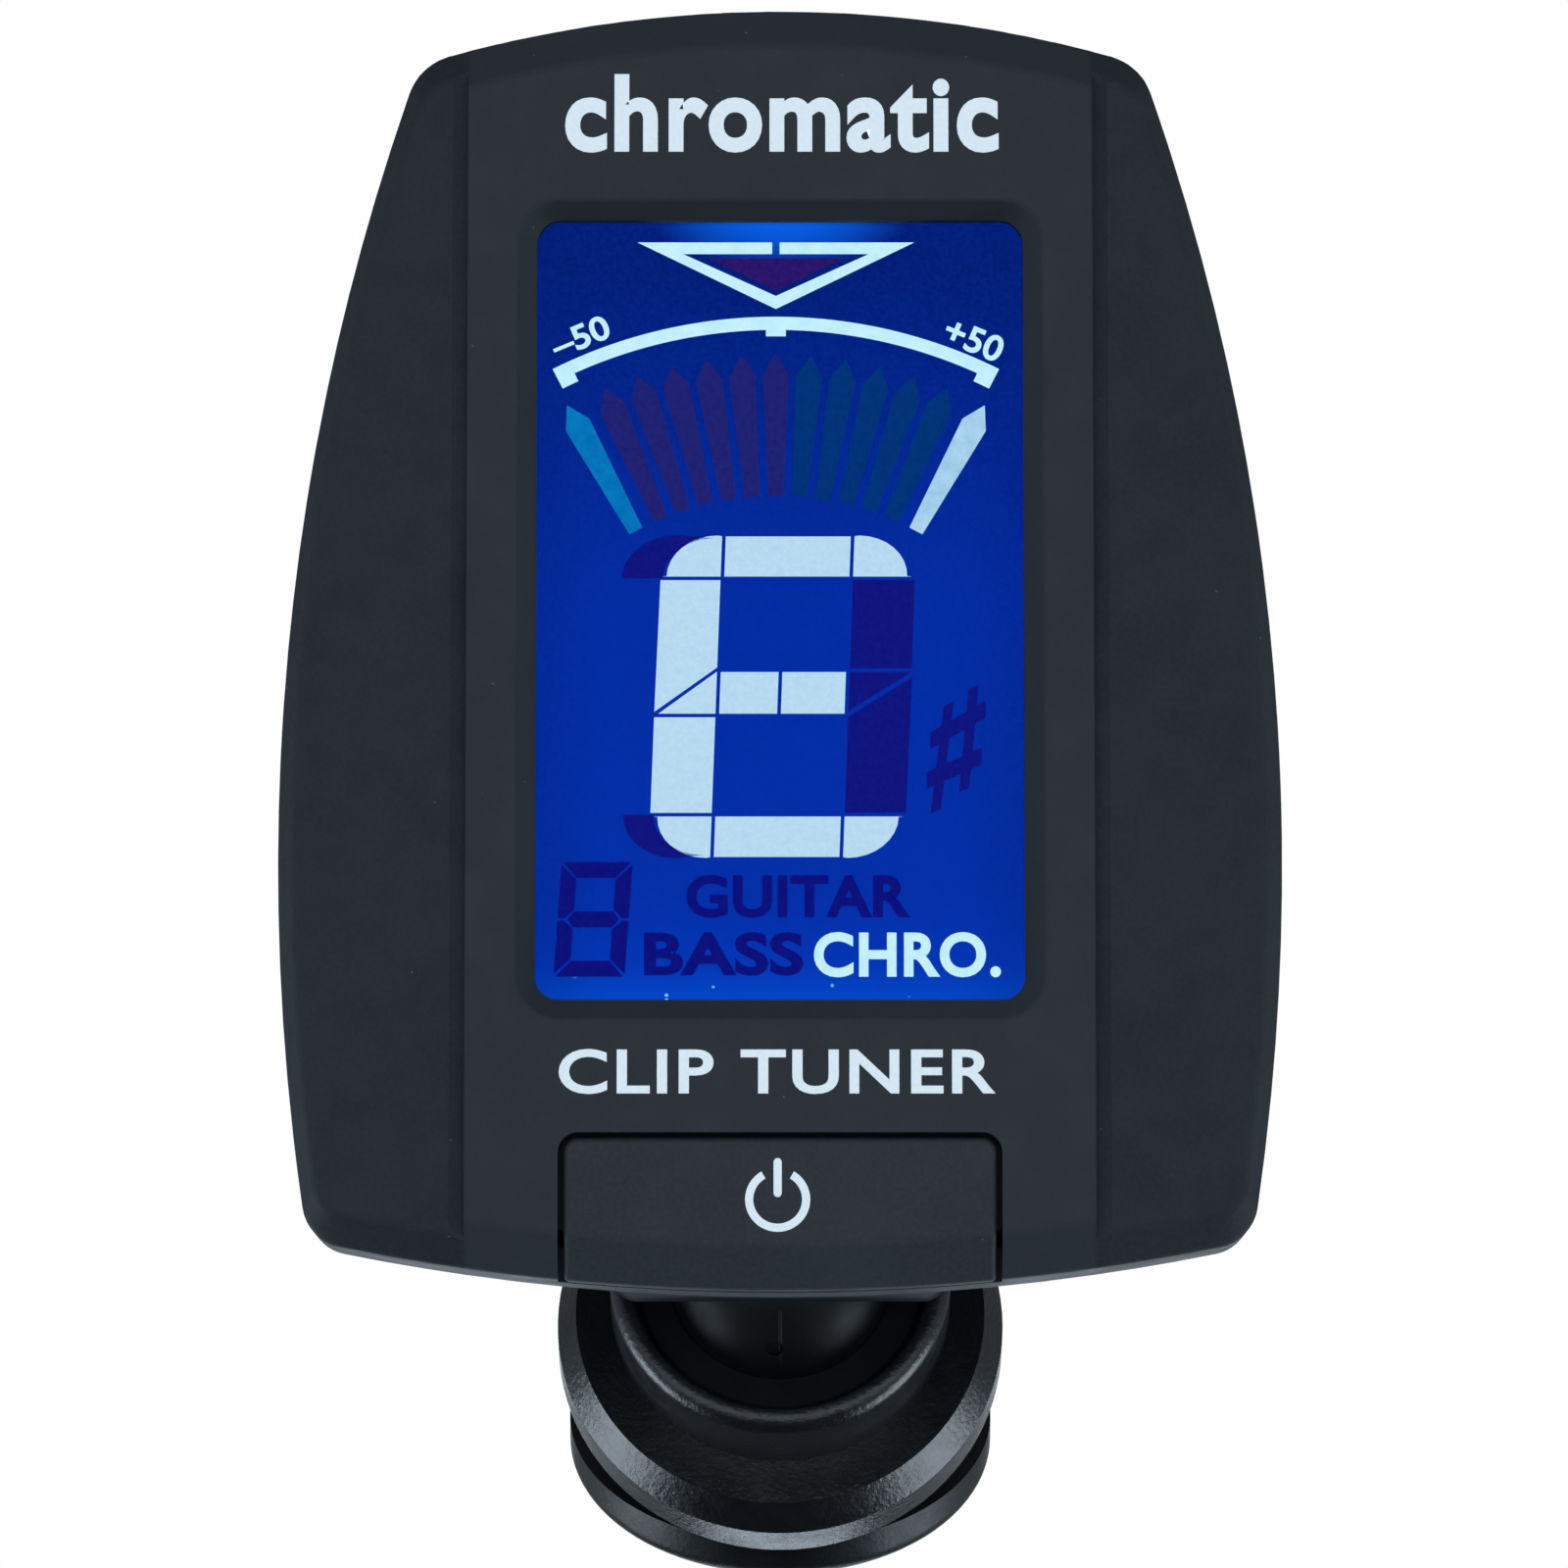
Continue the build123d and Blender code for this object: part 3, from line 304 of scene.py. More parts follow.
def circuit_board(name):
    """Green solder mask over copper tracks, with a weave showing faintly."""
    g = Graph(name)
    g.fixed(Specular_IOR_Level=0.5)
    bricks = g.add("ShaderNodeTexBrick")
    for key, value in (("Scale", 0.45), ("Mortar Size", 0.035), ("Mortar Smooth", 0.3),
                       ("Brick Width", 0.9), ("Row Height", 0.32)):
        bricks.inputs[key].default_value = value
    turned = g.add("ShaderNodeMapping")
    turned.inputs["Rotation"].default_value = (math.pi / 2, 0.0, 0.0)
    g.join(g.mm, turned.inputs["Vector"])
    g.join(turned.outputs[0], bricks.inputs["Vector"])
    mask = g.mix(g.noise(0.4, detail=4.0), srgb(10, 74, 34), srgb(16, 92, 44))
    g.colour(g.mix(bricks.outputs["Fac"], mask, srgb(52, 138, 74)))
    g.rough(1.0, low=0.25, high=0.4)
    weave = g.noise(3.0, detail=1.0, stretch=(1.0, 1.0, 4.0))
    g.bump(g.math("ADD", weave, bricks.outputs["Fac"]), microns=12.0)
    return g.material


def clear_lens(name):
    """Polished acrylic with faint smears and hardly any surface glare."""
    g = Graph(name)
    g.fixed(Base_Color=(0.985, 0.992, 1.0, 1.0), IOR=1.04, Transmission_Weight=1.0, Specular_IOR_Level=0.12)
    g.rough(0.25, low=0.0, high=0.015, detail=6.0)
    g.bump(g.noise(0.12, detail=2.0), microns=0.2)
    return g.material


def light_guide_acrylic(name):
    """Clear acrylic with a field of printed dots."""
    g = Graph(name)
    g.fixed(IOR=1.49, Transmission_Weight=0.6)
    g.colour(g.mix(g.specks(per_mm=1.4, radius=0.22, keep=1.0), srgb(214, 232, 245), srgb(250, 252, 255)))
    g.rough(0.8, low=0.12, high=0.3)
    g.bump(g.noise(2.0, detail=2.0), microns=3.0)
    return g.material


def striped_rubber(name):
    """Pink silicone with fine black conducting layers across it."""
    g = Graph(name)
    stripes = g.add("ShaderNodeTexWave", bands_direction="X")
    stripes.inputs["Scale"].default_value = 1.6
    g.join(g.mm, stripes.inputs["Vector"])
    g.colour(g.mix(g.span(stripes.outputs["Fac"], 0.35, 0.5), srgb(30, 26, 27), srgb(222, 150, 158)))
    g.rough(1.0, low=0.6, high=0.8)
    g.bump(stripes.outputs["Fac"], microns=15.0)
    return g.material


def glow(name, low, high, grain_per_mm):
    """A printed display segment with the backlight behind it, faintly mottled."""
    g = Graph(name)
    g.fixed(Specular_IOR_Level=0.0, Roughness=1.0, Emission_Strength=1.0)
    g.fixed(Base_Color=(0.0, 0.0, 0.0, 1.0))
    mottle = g.span(g.noise(grain_per_mm, detail=4.0, roughness=0.7), 0.3, 0.7)
    g.join(g.mix(mottle, low, high), g.bsdf.inputs["Emission Color"])
    return g.material


# The display's blue field, from the window's foot to its top: share of the height and colour.
WINDOW_LOW = 12.22
WINDOW_HIGH = 45.58
FIELD_STOPS = (
    (0.0, srgb(1, 72, 200)),
    (0.05, srgb(1, 52, 178)),
    (0.14, srgb(1, 44, 165)),
    (0.5, srgb(1, 41, 160)),
    (0.78, srgb(1, 31, 132)),
    (0.95, srgb(1, 23, 107)),
    (1.0, srgb(1, 25, 112)),
)
FIELD_EDGE = srgb(0, 24, 104)
FIELD_GRAIN = srgb(20, 70, 205)
LIT_DUST = srgb(150, 225, 255)
DUST_RISE = 1.4
# The lamp's glow is half an ellipse, centred just above the window.
LAMP_GLOW = srgb(8, 100, 240)
LAMP_ABOVE = 0.5
LAMP_REACH_ASIDE = 5.6
LAMP_REACH_BELOW = 2.3
LAMP_FALL = 1.4
LAMP_PEAK = 0.95


def backlit_panel(name):
    """The display's blue field: brighter near the lamp and at the foot, where there are a few dust specks."""
    g = Graph(name)
    g.fixed(Specular_IOR_Level=0.0, Roughness=0.6, Emission_Strength=1.0)
    g.fixed(Base_Color=(0.0, 0.0, 0.001, 1.0))
    x, _, z = g.axes()
    ramp = g.add("ShaderNodeValToRGB")
    elements = ramp.color_ramp.elements
    while len(elements) < len(FIELD_STOPS):
        elements.new(0.5)
    for element, (position, colour) in zip(elements, FIELD_STOPS):
        element.position = position
        element.color = colour
    low = place(0.0, 0.0, WINDOW_LOW).z / MM
    high = place(0.0, 0.0, WINDOW_HIGH).z / MM
    g.join(g.span(z, low, high), ramp.inputs[0])
    aside = g.math("DIVIDE", x, LAMP_REACH_ASIDE)
    below = g.math("DIVIDE", g.math("SUBTRACT", z, high + LAMP_ABOVE), LAMP_REACH_BELOW)
    spread = g.math("ADD", g.math("MULTIPLY", aside, aside), g.math("MULTIPLY", below, below))
    fall = g.math("POWER", g.span(spread, 0.0, 1.0, 1.0, 0.0), LAMP_FALL)
    shade = g.mix(g.math("MULTIPLY", fall, LAMP_PEAK), ramp.outputs[0], LAMP_GLOW)
    edge = g.span(g.math("ABSOLUTE", x), 7.0, 10.6, 0.0, 0.3, True)
    shade = g.mix(edge, shade, FIELD_EDGE)
    grain = g.span(g.noise(7.0, detail=2.0, roughness=0.7), 0.3, 0.7, 0.0, 0.16)
    shade = g.mix(grain, shade, FIELD_GRAIN)
    near_foot = g.span(z, low, low + DUST_RISE, 1.0, 0.0)
    dust = g.math("MULTIPLY", g.specks(per_mm=1.1, radius=0.075, keep=1.0), near_foot)
    shade = g.mix(g.math("MINIMUM", dust, 0.8), shade, LIT_DUST)
    g.join(shade, g.bsdf.inputs["Emission Color"])
    return g.material


def white_ink_with_painted_glow(name):
    """Pad-printed white ink, slightly uneven, with a faint painted glow that stands in for brighter light on
    it.
    """
    g = Graph(name)
    # Painted light: the ink's faint emission lifts it as if it were more brightly lit.
    g.fixed(Specular_IOR_Level=0.2, Emission_Color=srgb(225, 240, 250), Emission_Strength=0.42)
    speckle = g.span(g.noise(5.0, detail=3.0, roughness=0.7), 0.32, 0.6)
    g.colour(g.mix(speckle, srgb(222, 236, 244), srgb(242, 250, 255)))
    g.rough(2.0, low=0.45, high=0.65)
    g.bump(g.noise(6.0, detail=2.0), microns=5.0)
    return g.material


# ---- Materials for the CAD nodes ----
HOUSING = soft_touch("housing_soft_touch_painted_light", CHARCOAL, middle=CHARCOAL_PAINTED_LIT)
# The rear shell's and battery door's coating carries the painted shade on the stalk's block.
HOUSING_BACK = soft_touch("housing_back_soft_touch_painted_shade", CHARCOAL, painted_block_shade=True)
BUTTON = soft_touch("button_soft_touch_painted_light", CHARCOAL_PAINTED_LIT)
CLIP = moulded("clip_satin_black", BLACK_AND_PAINTED_SHADE, rough=(0.27, 0.37), grain_per_mm=3.8, microns=32.0, specular=0.8)
CLIP_BACK = moulded("clip_back_satin_black", BLACK_AND_PAINTED_SHADE, rough=(0.36, 0.46), grain_per_mm=3.8, microns=14.0,
                    specular=0.4)
JOINT = moulded("joint_satin_black", BLACK_AND_PAINTED_SHADE, rough=(0.42, 0.55), grain_per_mm=5.0, microns=6.0,
                specular=0.25, seam=True)
PAD = rubber("pad_rubber", (0.012, 0.012, 0.013, 1.0))
STEEL = metal("zinc_plated_steel", (0.62, 0.63, 0.65, 1.0), stain=(0.42, 0.42, 0.44, 1.0),
              rough=(0.2, 0.38), grain_per_mm=6.0)
CELL_STEEL = metal("cell_can_steel", (0.7, 0.71, 0.73, 1.0), stain=(0.5, 0.5, 0.52, 1.0),
                   rough=(0.16, 0.3), grain_per_mm=8.0, stretch=(1.0, 1.0, 6.0))
BRASS = metal("plated_brass", (0.78, 0.6, 0.28, 1.0), stain=(0.5, 0.36, 0.16, 1.0),
              rough=(0.2, 0.36), grain_per_mm=6.0, stretch=(1.0, 1.0, 3.0))
EPOXY = moulded("chip_epoxy", (0.02, 0.02, 0.022, 1.0), rough=(0.5, 0.65), grain_per_mm=8.0, microns=6.0,
                specular=0.35)
CERAMIC = moulded("ceramic_body", (0.4, 0.28, 0.17, 1.0), rough=(0.4, 0.55), grain_per_mm=6.0, microns=4.0)
WHITE_PLASTIC = moulded("white_film", (0.7, 0.7, 0.68, 1.0), rough=(0.4, 0.55), grain_per_mm=4.0, microns=3.0)
STEM = moulded("switch_stem_red", (0.45, 0.03, 0.015, 1.0), rough=(0.35, 0.5), grain_per_mm=6.0, microns=4.0)
LEAD = rubber("lead_insulation_red", (0.3, 0.01, 0.01, 1.0))

LOOKS = {
    "front_shell": HOUSING,
    "rear_shell": HOUSING_BACK,
    "battery_door": HOUSING_BACK,
    "power_button": BUTTON,
    "front_jaw": CLIP,
    "rear_jaw": CLIP_BACK,
    "ball_stud": JOINT,
    "socket_bush": JOINT,
    "front_pad": PAD,
    "rear_pad": PAD,
    "display_lens": clear_lens("lens_acrylic"),
    "lcd_panel": backlit_panel("backlit_display"),
    "light_guide": light_guide_acrylic("light_guide_acrylic"),
    "reflector_sheet": WHITE_PLASTIC,
    "backlight_led": WHITE_PLASTIC,
    "zebra_connector": striped_rubber("striped_connector"),
    "main_board": circuit_board("solder_mask"),
    "tuner_chip": EPOXY,
    "tact_switch": EPOXY,
    "crystal": STEEL,
    "capacitors": CERAMIC,
    "resistors": EPOXY,
    "switch_plunger": STEM,
    "piezo_sensor": BRASS,
    "piezo_leads": LEAD,
    "coin_cell": CELL_STEEL,
    "battery_contact_negative": BRASS,
    "battery_contact_positive": BRASS,
    "shell_screws": STEEL,
    "board_screws": STEEL,
    "stud_washer": STEEL,
    "stud_screw": STEEL,
    "hinge_pin": STEEL,
    "torsion_spring": STEEL,
}
for node, look in LOOKS.items():
    for slot in NODES[node].material_slots:
        slot.material = look


# ---- Mesh pieces ----
def link_piece(name, mesh, material):
    """Put a finished mesh in the scene with its look."""
    piece = bpy.data.objects.new(name, mesh)
    bpy.context.scene.collection.objects.link(piece)
    mesh.materials.clear()
    mesh.materials.append(material)
    return piece


def mesh_of(curve, name):
    """The mesh that a curve or a text makes."""
    source = bpy.data.objects.new(name + "_line", curve)
    bpy.context.scene.collection.objects.link(source)
    bpy.context.view_layer.update()
    mesh = bpy.data.meshes.new_from_object(source)
    bpy.data.objects.remove(source)
    mesh.name = name
    return mesh


def plates(name, outlines, front, back, material, body="display"):
    """Thin flat plates, one for each outline of x and z, between two depths."""
    bm = bmesh.new()
    for outline in outlines:
        face = bm.faces.new([bm.verts.new(place(x, front, z)) for x, z in outline])
        face.normal_update()
        if face.normal.y > 0:
            face.normal_flip()
        grown = bmesh.ops.extrude_face_region(bm, geom=[face])
        moved = [item for item in grown["geom"] if isinstance(item, bmesh.types.BMVert)]
        bmesh.ops.translate(bm, verts=moved, vec=Vector((0.0, (back - front) * MM, 0.0)))
    bmesh.ops.recalc_face_normals(bm, faces=bm.faces)
    mesh = bpy.data.meshes.new(name)
    bm.to_mesh(mesh)
    bm.free()
    piece = link_piece(name, mesh, material)
    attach(piece, body)


def lettering(name, text, box, depths, material, weight, spacing=1.0, turn=0.0):
    """Plain lettering fitted to a box of x low, x high, z low, z high, then turned in its plane.

    The depths are its front and back. The text's own thickness only has to be more than nothing."""
    curve = bpy.data.curves.new(name, "FONT")
    curve.body = text
    curve.offset = weight
    curve.extrude = 0.05
    curve.resolution_u = 6
    curve.space_character = spacing
    mesh = mesh_of(curve, name)
    low = [min(v.co[axis] for v in mesh.vertices) for axis in range(3)]
    high = [max(v.co[axis] for v in mesh.vertices) for axis in range(3)]
    front, back = depths
    x_low, x_high, z_low, z_high = box
    centre_x = (x_low + x_high) / 2
    centre_z = (z_low + z_high) / 2
    swing = math.radians(turn)
    for vertex in mesh.vertices:
        share = [(vertex.co[axis] - low[axis]) / (high[axis] - low[axis]) for axis in range(3)]
        x = (share[0] - 0.5) * (x_high - x_low)
        z = (share[1] - 0.5) * (z_high - z_low)
        vertex.co = place(centre_x + x * math.cos(swing) - z * math.sin(swing),
                          back + (front - back) * share[2],
                          centre_z + x * math.sin(swing) + z * math.cos(swing))
    piece = link_piece(name, mesh, material)
    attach(piece, "display")


def arc(centre_x, centre_z, radius, start, end, steps):
    """Points on an arc; angles in degrees, 0 along +x and 90 upwards."""
    angles = [math.radians(start + (end - start) * index / steps) for index in range(steps + 1)]
    return [(centre_x + radius * math.cos(a), centre_z + radius * math.sin(a)) for a in angles]


# ---- Display graphics ----
# They sit as printed segments in the gap between the lens and the display's glass,
# about an upright line a little to the left of the housing's middle.
SEGMENT_DEPTHS = (2.112, 2.138)
MIDDLE = -0.18
LIT = glow("segment_lit", srgb(178, 213, 236), srgb(188, 223, 243), grain_per_mm=5.0)
LIT_BRIGHT = glow("segment_bright", srgb(186, 234, 252), srgb(205, 244, 255), grain_per_mm=2.0)
NEEDLE_CYAN = glow("needle_cyan", srgb(1, 104, 176), srgb(10, 128, 196), grain_per_mm=2.0)
NEEDLE_WHITE = glow("needle_white", srgb(150, 196, 228), srgb(178, 216, 240), grain_per_mm=2.0)
DIM_LEFT = glow("needles_dim_left", srgb(22, 30, 108), srgb(38, 36, 118), grain_per_mm=4.0)
DIM_RIGHT = glow("needles_dim_right", srgb(0, 42, 112), srgb(4, 56, 126), grain_per_mm=4.0)
PURPLE = glow("segment_dim", srgb(10, 16, 118), srgb(18, 24, 134), grain_per_mm=4.0)
PURPLE_DARK = glow("segment_dim_centre", srgb(34, 14, 98), srgb(50, 26, 112), grain_per_mm=4.0)
WORD_DIM = glow("word_dim", srgb(8, 12, 116), srgb(14, 20, 130), grain_per_mm=4.0)
# How much bolder each kind of lettering is than the plain face, and how widely its letters are spaced.
LABEL_WEIGHT = 0.02
DIM_WORD_WEIGHT = 0.034
DIM_WORD_SPACING = 1.04
LIT_WORD_WEIGHT = 0.032
LIT_WORD_SPACING = 1.08


def segments(name, outlines, material):
    plates(name, outlines, *SEGMENT_DEPTHS, material)


# Centre pointer: an outlined triangle with a split top bar and a filled one inside it.
POINTER_TOP = 44.91
POINTER_TIP = 42.03
POINTER_HALF = 5.86
POINTER_BAR = 0.5
POINTER_SPLIT = 0.16
POINTER_INNER_HALF = 3.95
POINTER_INNER_TIP = 42.59
FILL_HALF = 2.85
FILL_TOP = 44.23
FILL_TIP = 42.83


def pointer_side(side):
    """One half of the outlined triangle, from the split to the tip."""
    return [(MIDDLE + side * x, z) for x, z in (
        (POINTER_SPLIT, POINTER_TOP),
        (POINTER_HALF, POINTER_TOP),
        (0.0, POINTER_TIP),
        (0.0, POINTER_INNER_TIP),
        (POINTER_INNER_HALF, POINTER_TOP - POINTER_BAR),
        (POINTER_SPLIT, POINTER_TOP - POINTER_BAR))]


segments("display_pointer_outline", [pointer_side(-1), pointer_side(1)], LIT_BRIGHT)
segments("display_pointer_fill",
         [[(MIDDLE - FILL_HALF, FILL_TOP), (MIDDLE + FILL_HALF, FILL_TOP), (MIDDLE, FILL_TIP)]], PURPLE_DARK)

# Scale: a shallow arc with a short tick in the middle and at each end.
SCALE_RADIUS = 20.9
SCALE_TOP = 41.69
SCALE_THICK = 0.56
SCALE_HALF_ANGLE = 26.9
SCALE_CENTRE = SCALE_TOP - SCALE_RADIUS
END_TICK_ANGLE = 2.1
END_TICK_DROP = 0.38
CENTRE_TICK_HALF = 0.42
CENTRE_TICK_FOOT = 40.85
CENTRE_TICK_OVERLAP = 0.02
MINUS_BOX = (-9.75, -7.2, 40.29, 41.37)
PLUS_BOX = (6.95, 9.5, 40.12, 41.27)
LABEL_TURN = 23.0


def scale_arc():
    """The arc with its end ticks, as one outline."""
    start = 90 - SCALE_HALF_ANGLE
    end = 90 + SCALE_HALF_ANGLE
    inner = SCALE_RADIUS - SCALE_THICK
    foot = inner - END_TICK_DROP
    return (arc(MIDDLE, SCALE_CENTRE, SCALE_RADIUS, start, end, 48)
            + arc(MIDDLE, SCALE_CENTRE, foot, end, end - END_TICK_ANGLE, 2)
            + arc(MIDDLE, SCALE_CENTRE, inner, end - END_TICK_ANGLE, start + END_TICK_ANGLE, 44)
            + arc(MIDDLE, SCALE_CENTRE, foot, start + END_TICK_ANGLE, start, 2))


def centre_tick():
    top = SCALE_TOP - SCALE_THICK + CENTRE_TICK_OVERLAP
    left = MIDDLE - CENTRE_TICK_HALF
    right = MIDDLE + CENTRE_TICK_HALF
    return [(left, top), (right, top), (right, CENTRE_TICK_FOOT), (left, CENTRE_TICK_FOOT)]


segments("display_scale", [scale_arc(), centre_tick()], LIT_BRIGHT)
lettering("display_label_minus", "\u201350", MINUS_BOX, SEGMENT_DEPTHS, LIT_BRIGHT, LABEL_WEIGHT,
          turn=LABEL_TURN)
lettering("display_label_plus", "+50", PLUS_BOX, SEGMENT_DEPTHS, LIT_BRIGHT, LABEL_WEIGHT,
          turn=-LABEL_TURN)

# Needle fan: pointed bars on rays from one centre.
FAN_CENTRE = 21.50
FAN_TIP = 18.6
FAN_SHOULDER = 17.65
FAN_FOOT = 12.45
FAN_STEP = 4.6
FAN_STEPS = 5
FAN_END_ANGLE = 28.4
NEEDLE_SHOULDER_HALF = 0.56
NEEDLE_FOOT_HALF = 0.31


def needle(angle):
    """A pointed bar at an angle from the vertical, in degrees to the right."""
    swing = math.radians(angle)
    along = (math.sin(swing), math.cos(swing))
    across = (math.cos(swing), -math.sin(swing))

    def point(reach, aside):
        return (MIDDLE + reach * along[0] + aside * across[0],
                FAN_CENTRE + reach * along[1] + aside * across[1])

    return [point(FAN_TIP, 0.0), point(FAN_SHOULDER, NEEDLE_SHOULDER_HALF), point(FAN_FOOT, NEEDLE_FOOT_HALF),
            point(FAN_FOOT, -NEEDLE_FOOT_HALF), point(FAN_SHOULDER, -NEEDLE_SHOULDER_HALF)]


segments("display_needle_left_end", [needle(-FAN_END_ANGLE)], NEEDLE_CYAN)
segments("display_needle_right_end", [needle(FAN_END_ANGLE)], NEEDLE_WHITE)
segments("display_needles_left", [needle(-FAN_STEP * index) for index in range(FAN_STEPS + 1)], DIM_LEFT)
segments("display_needles_right", [needle(FAN_STEP * (index + 1)) for index in range(FAN_STEPS)], DIM_RIGHT)

# Note letter: a leaning block of bars, upright and centred on x = 0 until it is slanted.
LETTER_X = 0.1
LETTER_LOW = 18.45
LETTER_HIGH = 32.25
LETTER_MIDDLE_LOW = 24.53
LETTER_MIDDLE_HIGH = 26.47
LETTER_HALF = 5.38
LETTER_INNER = 2.72
LETTER_SLANT = 0.036
BAR_HIGH = 1.84
BAR_GAP = 0.08
BAR_SPLIT = -0.12
TOP_BAR = LETTER_HIGH - BAR_HIGH
FOOT_BAR = LETTER_LOW + BAR_HIGH
ROUND_REACH = 2.1
ROUND_HIGH = 0.95 * BAR_HIGH
ROUND_STEPS = 8
ROUND_SET_IN = 0.3
CORNER_SET_IN = 0.12
CORNER_FLAT = 0.4 * BAR_GAP
END_BAR_PROUD = 0.04
UPPER_HOOK_REACH = 1.6
LOWER_HOOK_REACH = 1.15
HOOK_STRETCH = 1.1
HOOK_PROUD = 0.02
HOOK_OVERLAP = 0.14
HOOK_DROP = 0.12


def lean(outline):
    """Slant an outline of the note letter about its middle."""
    level = (LETTER_LOW + LETTER_HIGH) / 2
    return [(LETTER_X + x + LETTER_SLANT * (z - level), z) for x, z in outline]


def bar(x_low, x_high, z_low, z_high):
    """A bar of the letter, drawn in by the gap between bars."""
    return [(x_low + BAR_GAP, z_low + BAR_GAP), (x_high - BAR_GAP, z_low + BAR_GAP),
            (x_high - BAR_GAP, z_high - BAR_GAP), (x_low + BAR_GAP, z_high - BAR_GAP)]


def quarter():
    """A quarter round as shares of its reach and height, from its flat end to its upright end."""
    swings = [math.radians(90 - 90 * index / ROUND_STEPS) for index in range(ROUND_STEPS + 1)]
    return [(1 - math.cos(swing), 1 - math.sin(swing)) for swing in swings]


def edge_of(upper):
    """The letter's top or foot, and the direction from it to the letter's middle."""
    return (LETTER_HIGH, -1) if upper else (LETTER_LOW, 1)


def corner(side, upper):
    """A corner bar with its outer corner rounded off."""
    z_edge, inward = edge_of(upper)
    inner = z_edge + inward * (BAR_HIGH - BAR_GAP)
    near = side * (LETTER_INNER + BAR_GAP)
    points = [(near, inner), (near, z_edge + inward * CORNER_FLAT)]
    for along, down in quarter():
        points.append((side * (LETTER_HALF - ROUND_SET_IN - ROUND_REACH * along),
                       z_edge + inward * ROUND_HIGH * down))
    return points + [(side * (LETTER_HALF - CORNER_SET_IN), inner)]


def hook(upper):
    """The dim hook outside a left corner, round the lit corner's outline."""
    z_edge, inward = edge_of(upper)
    outer_x = -LETTER_HALF - (UPPER_HOOK_REACH if upper else LOWER_HOOK_REACH)
    inner_x = -LETTER_HALF + HOOK_OVERLAP
    outer = [(outer_x + ROUND_REACH * along * HOOK_STRETCH, z_edge + inward * (BAR_HIGH * down - HOOK_PROUD))
             for along, down in quarter()]
    inner = [(inner_x + ROUND_REACH * along, z_edge + inward * (ROUND_HIGH * down + HOOK_DROP))
             for along, down in quarter()]
    foot = z_edge + inward * BAR_HIGH
    return outer + [(outer_x, foot), (-LETTER_HALF + CORNER_SET_IN, foot)] + inner[::-1]


# Slanting cuts divide the side bars beside the middle bar; the numbers in their outlines move a point of
# a cut or of an end off the middle bar's or the letter's own lines.
LIT_LETTER = [
    corner(-1, True), corner(-1, False), corner(1, True), corner(1, False),
    bar(-LETTER_INNER, LETTER_INNER, TOP_BAR, LETTER_HIGH + END_BAR_PROUD),
    bar(-LETTER_INNER, LETTER_INNER, LETTER_LOW - END_BAR_PROUD, FOOT_BAR),
    [(-LETTER_HALF, LETTER_MIDDLE_LOW + 0.16), (-LETTER_INNER - BAR_GAP, LETTER_MIDDLE_HIGH + 0.12),
     (-LETTER_INNER - BAR_GAP, TOP_BAR - BAR_GAP), (-LETTER_HALF + 0.05, TOP_BAR - BAR_GAP)],
    [(-LETTER_HALF + 0.18, LETTER_MIDDLE_LOW + BAR_GAP),
     (-LETTER_INNER - BAR_GAP, LETTER_MIDDLE_LOW + BAR_GAP),
     (-LETTER_INNER - BAR_GAP, LETTER_MIDDLE_HIGH - 0.06)],
    bar(-LETTER_HALF - BAR_GAP, -LETTER_INNER, FOOT_BAR, LETTER_MIDDLE_LOW),
    bar(-LETTER_INNER, BAR_SPLIT, LETTER_MIDDLE_LOW, LETTER_MIDDLE_HIGH),
    bar(BAR_SPLIT, LETTER_INNER, LETTER_MIDDLE_LOW, LETTER_MIDDLE_HIGH),
]
DIM_LETTER = [
    bar(LETTER_INNER, LETTER_HALF + 0.12, LETTER_MIDDLE_HIGH, TOP_BAR),
    [(LETTER_INNER + BAR_GAP, LETTER_MIDDLE_LOW + 0.2), (LETTER_HALF + 0.04, LETTER_MIDDLE_HIGH - BAR_GAP),
     (LETTER_INNER + BAR_GAP, LETTER_MIDDLE_HIGH - BAR_GAP)],
    [(LETTER_INNER + BAR_GAP, FOOT_BAR + BAR_GAP), (LETTER_HALF, FOOT_BAR + BAR_GAP),
     (LETTER_HALF + 0.06, LETTER_MIDDLE_HIGH - 0.3), (LETTER_INNER + BAR_GAP, LETTER_MIDDLE_LOW - 0.05)],
    hook(True),
    hook(False),
]
segments("display_note_letter", [lean(outline) for outline in LIT_LETTER], LIT)
segments("display_note_unlit", [lean(outline) for outline in DIM_LETTER], PURPLE)

# Sharp sign: two leaning uprights and two rising strokes.
SHARP_LEFT_FOOT = (6.55, 20.43)
SHARP_LEFT_HEAD = (7.11, 25.02)
SHARP_RIGHT_FOOT = (7.76, 21.35)
SHARP_RIGHT_HEAD = (8.16, 25.75)
SHARP_LOW_LEFT = (6.17, 21.75)
SHARP_LOW_RIGHT = (8.5, 22.8)
SHARP_HIGH_LEFT = (6.33, 23.45)
SHARP_HIGH_RIGHT = (8.67, 24.8)
SHARP_UPRIGHT_HALF = 0.22
SHARP_CUT = 0.1
SHARP_STROKE_HALF = 0.37
SHARP_STEP_BACK = 0.004


def slanted_bar(start, end, aside, rise):
    """A bar from one point to another; its ends run from minus to plus an offset of x and z."""
    return [(start[0] - aside, start[1] - rise), (start[0] + aside, start[1] + rise),
            (end[0] + aside, end[1] + rise), (end[0] - aside, end[1] - rise)]


segments("display_sharp_sign",
         [slanted_bar(SHARP_LEFT_FOOT, SHARP_LEFT_HEAD, SHARP_UPRIGHT_HALF, SHARP_CUT),
          slanted_bar(SHARP_RIGHT_FOOT, SHARP_RIGHT_HEAD, SHARP_UPRIGHT_HALF, SHARP_CUT)], PURPLE)
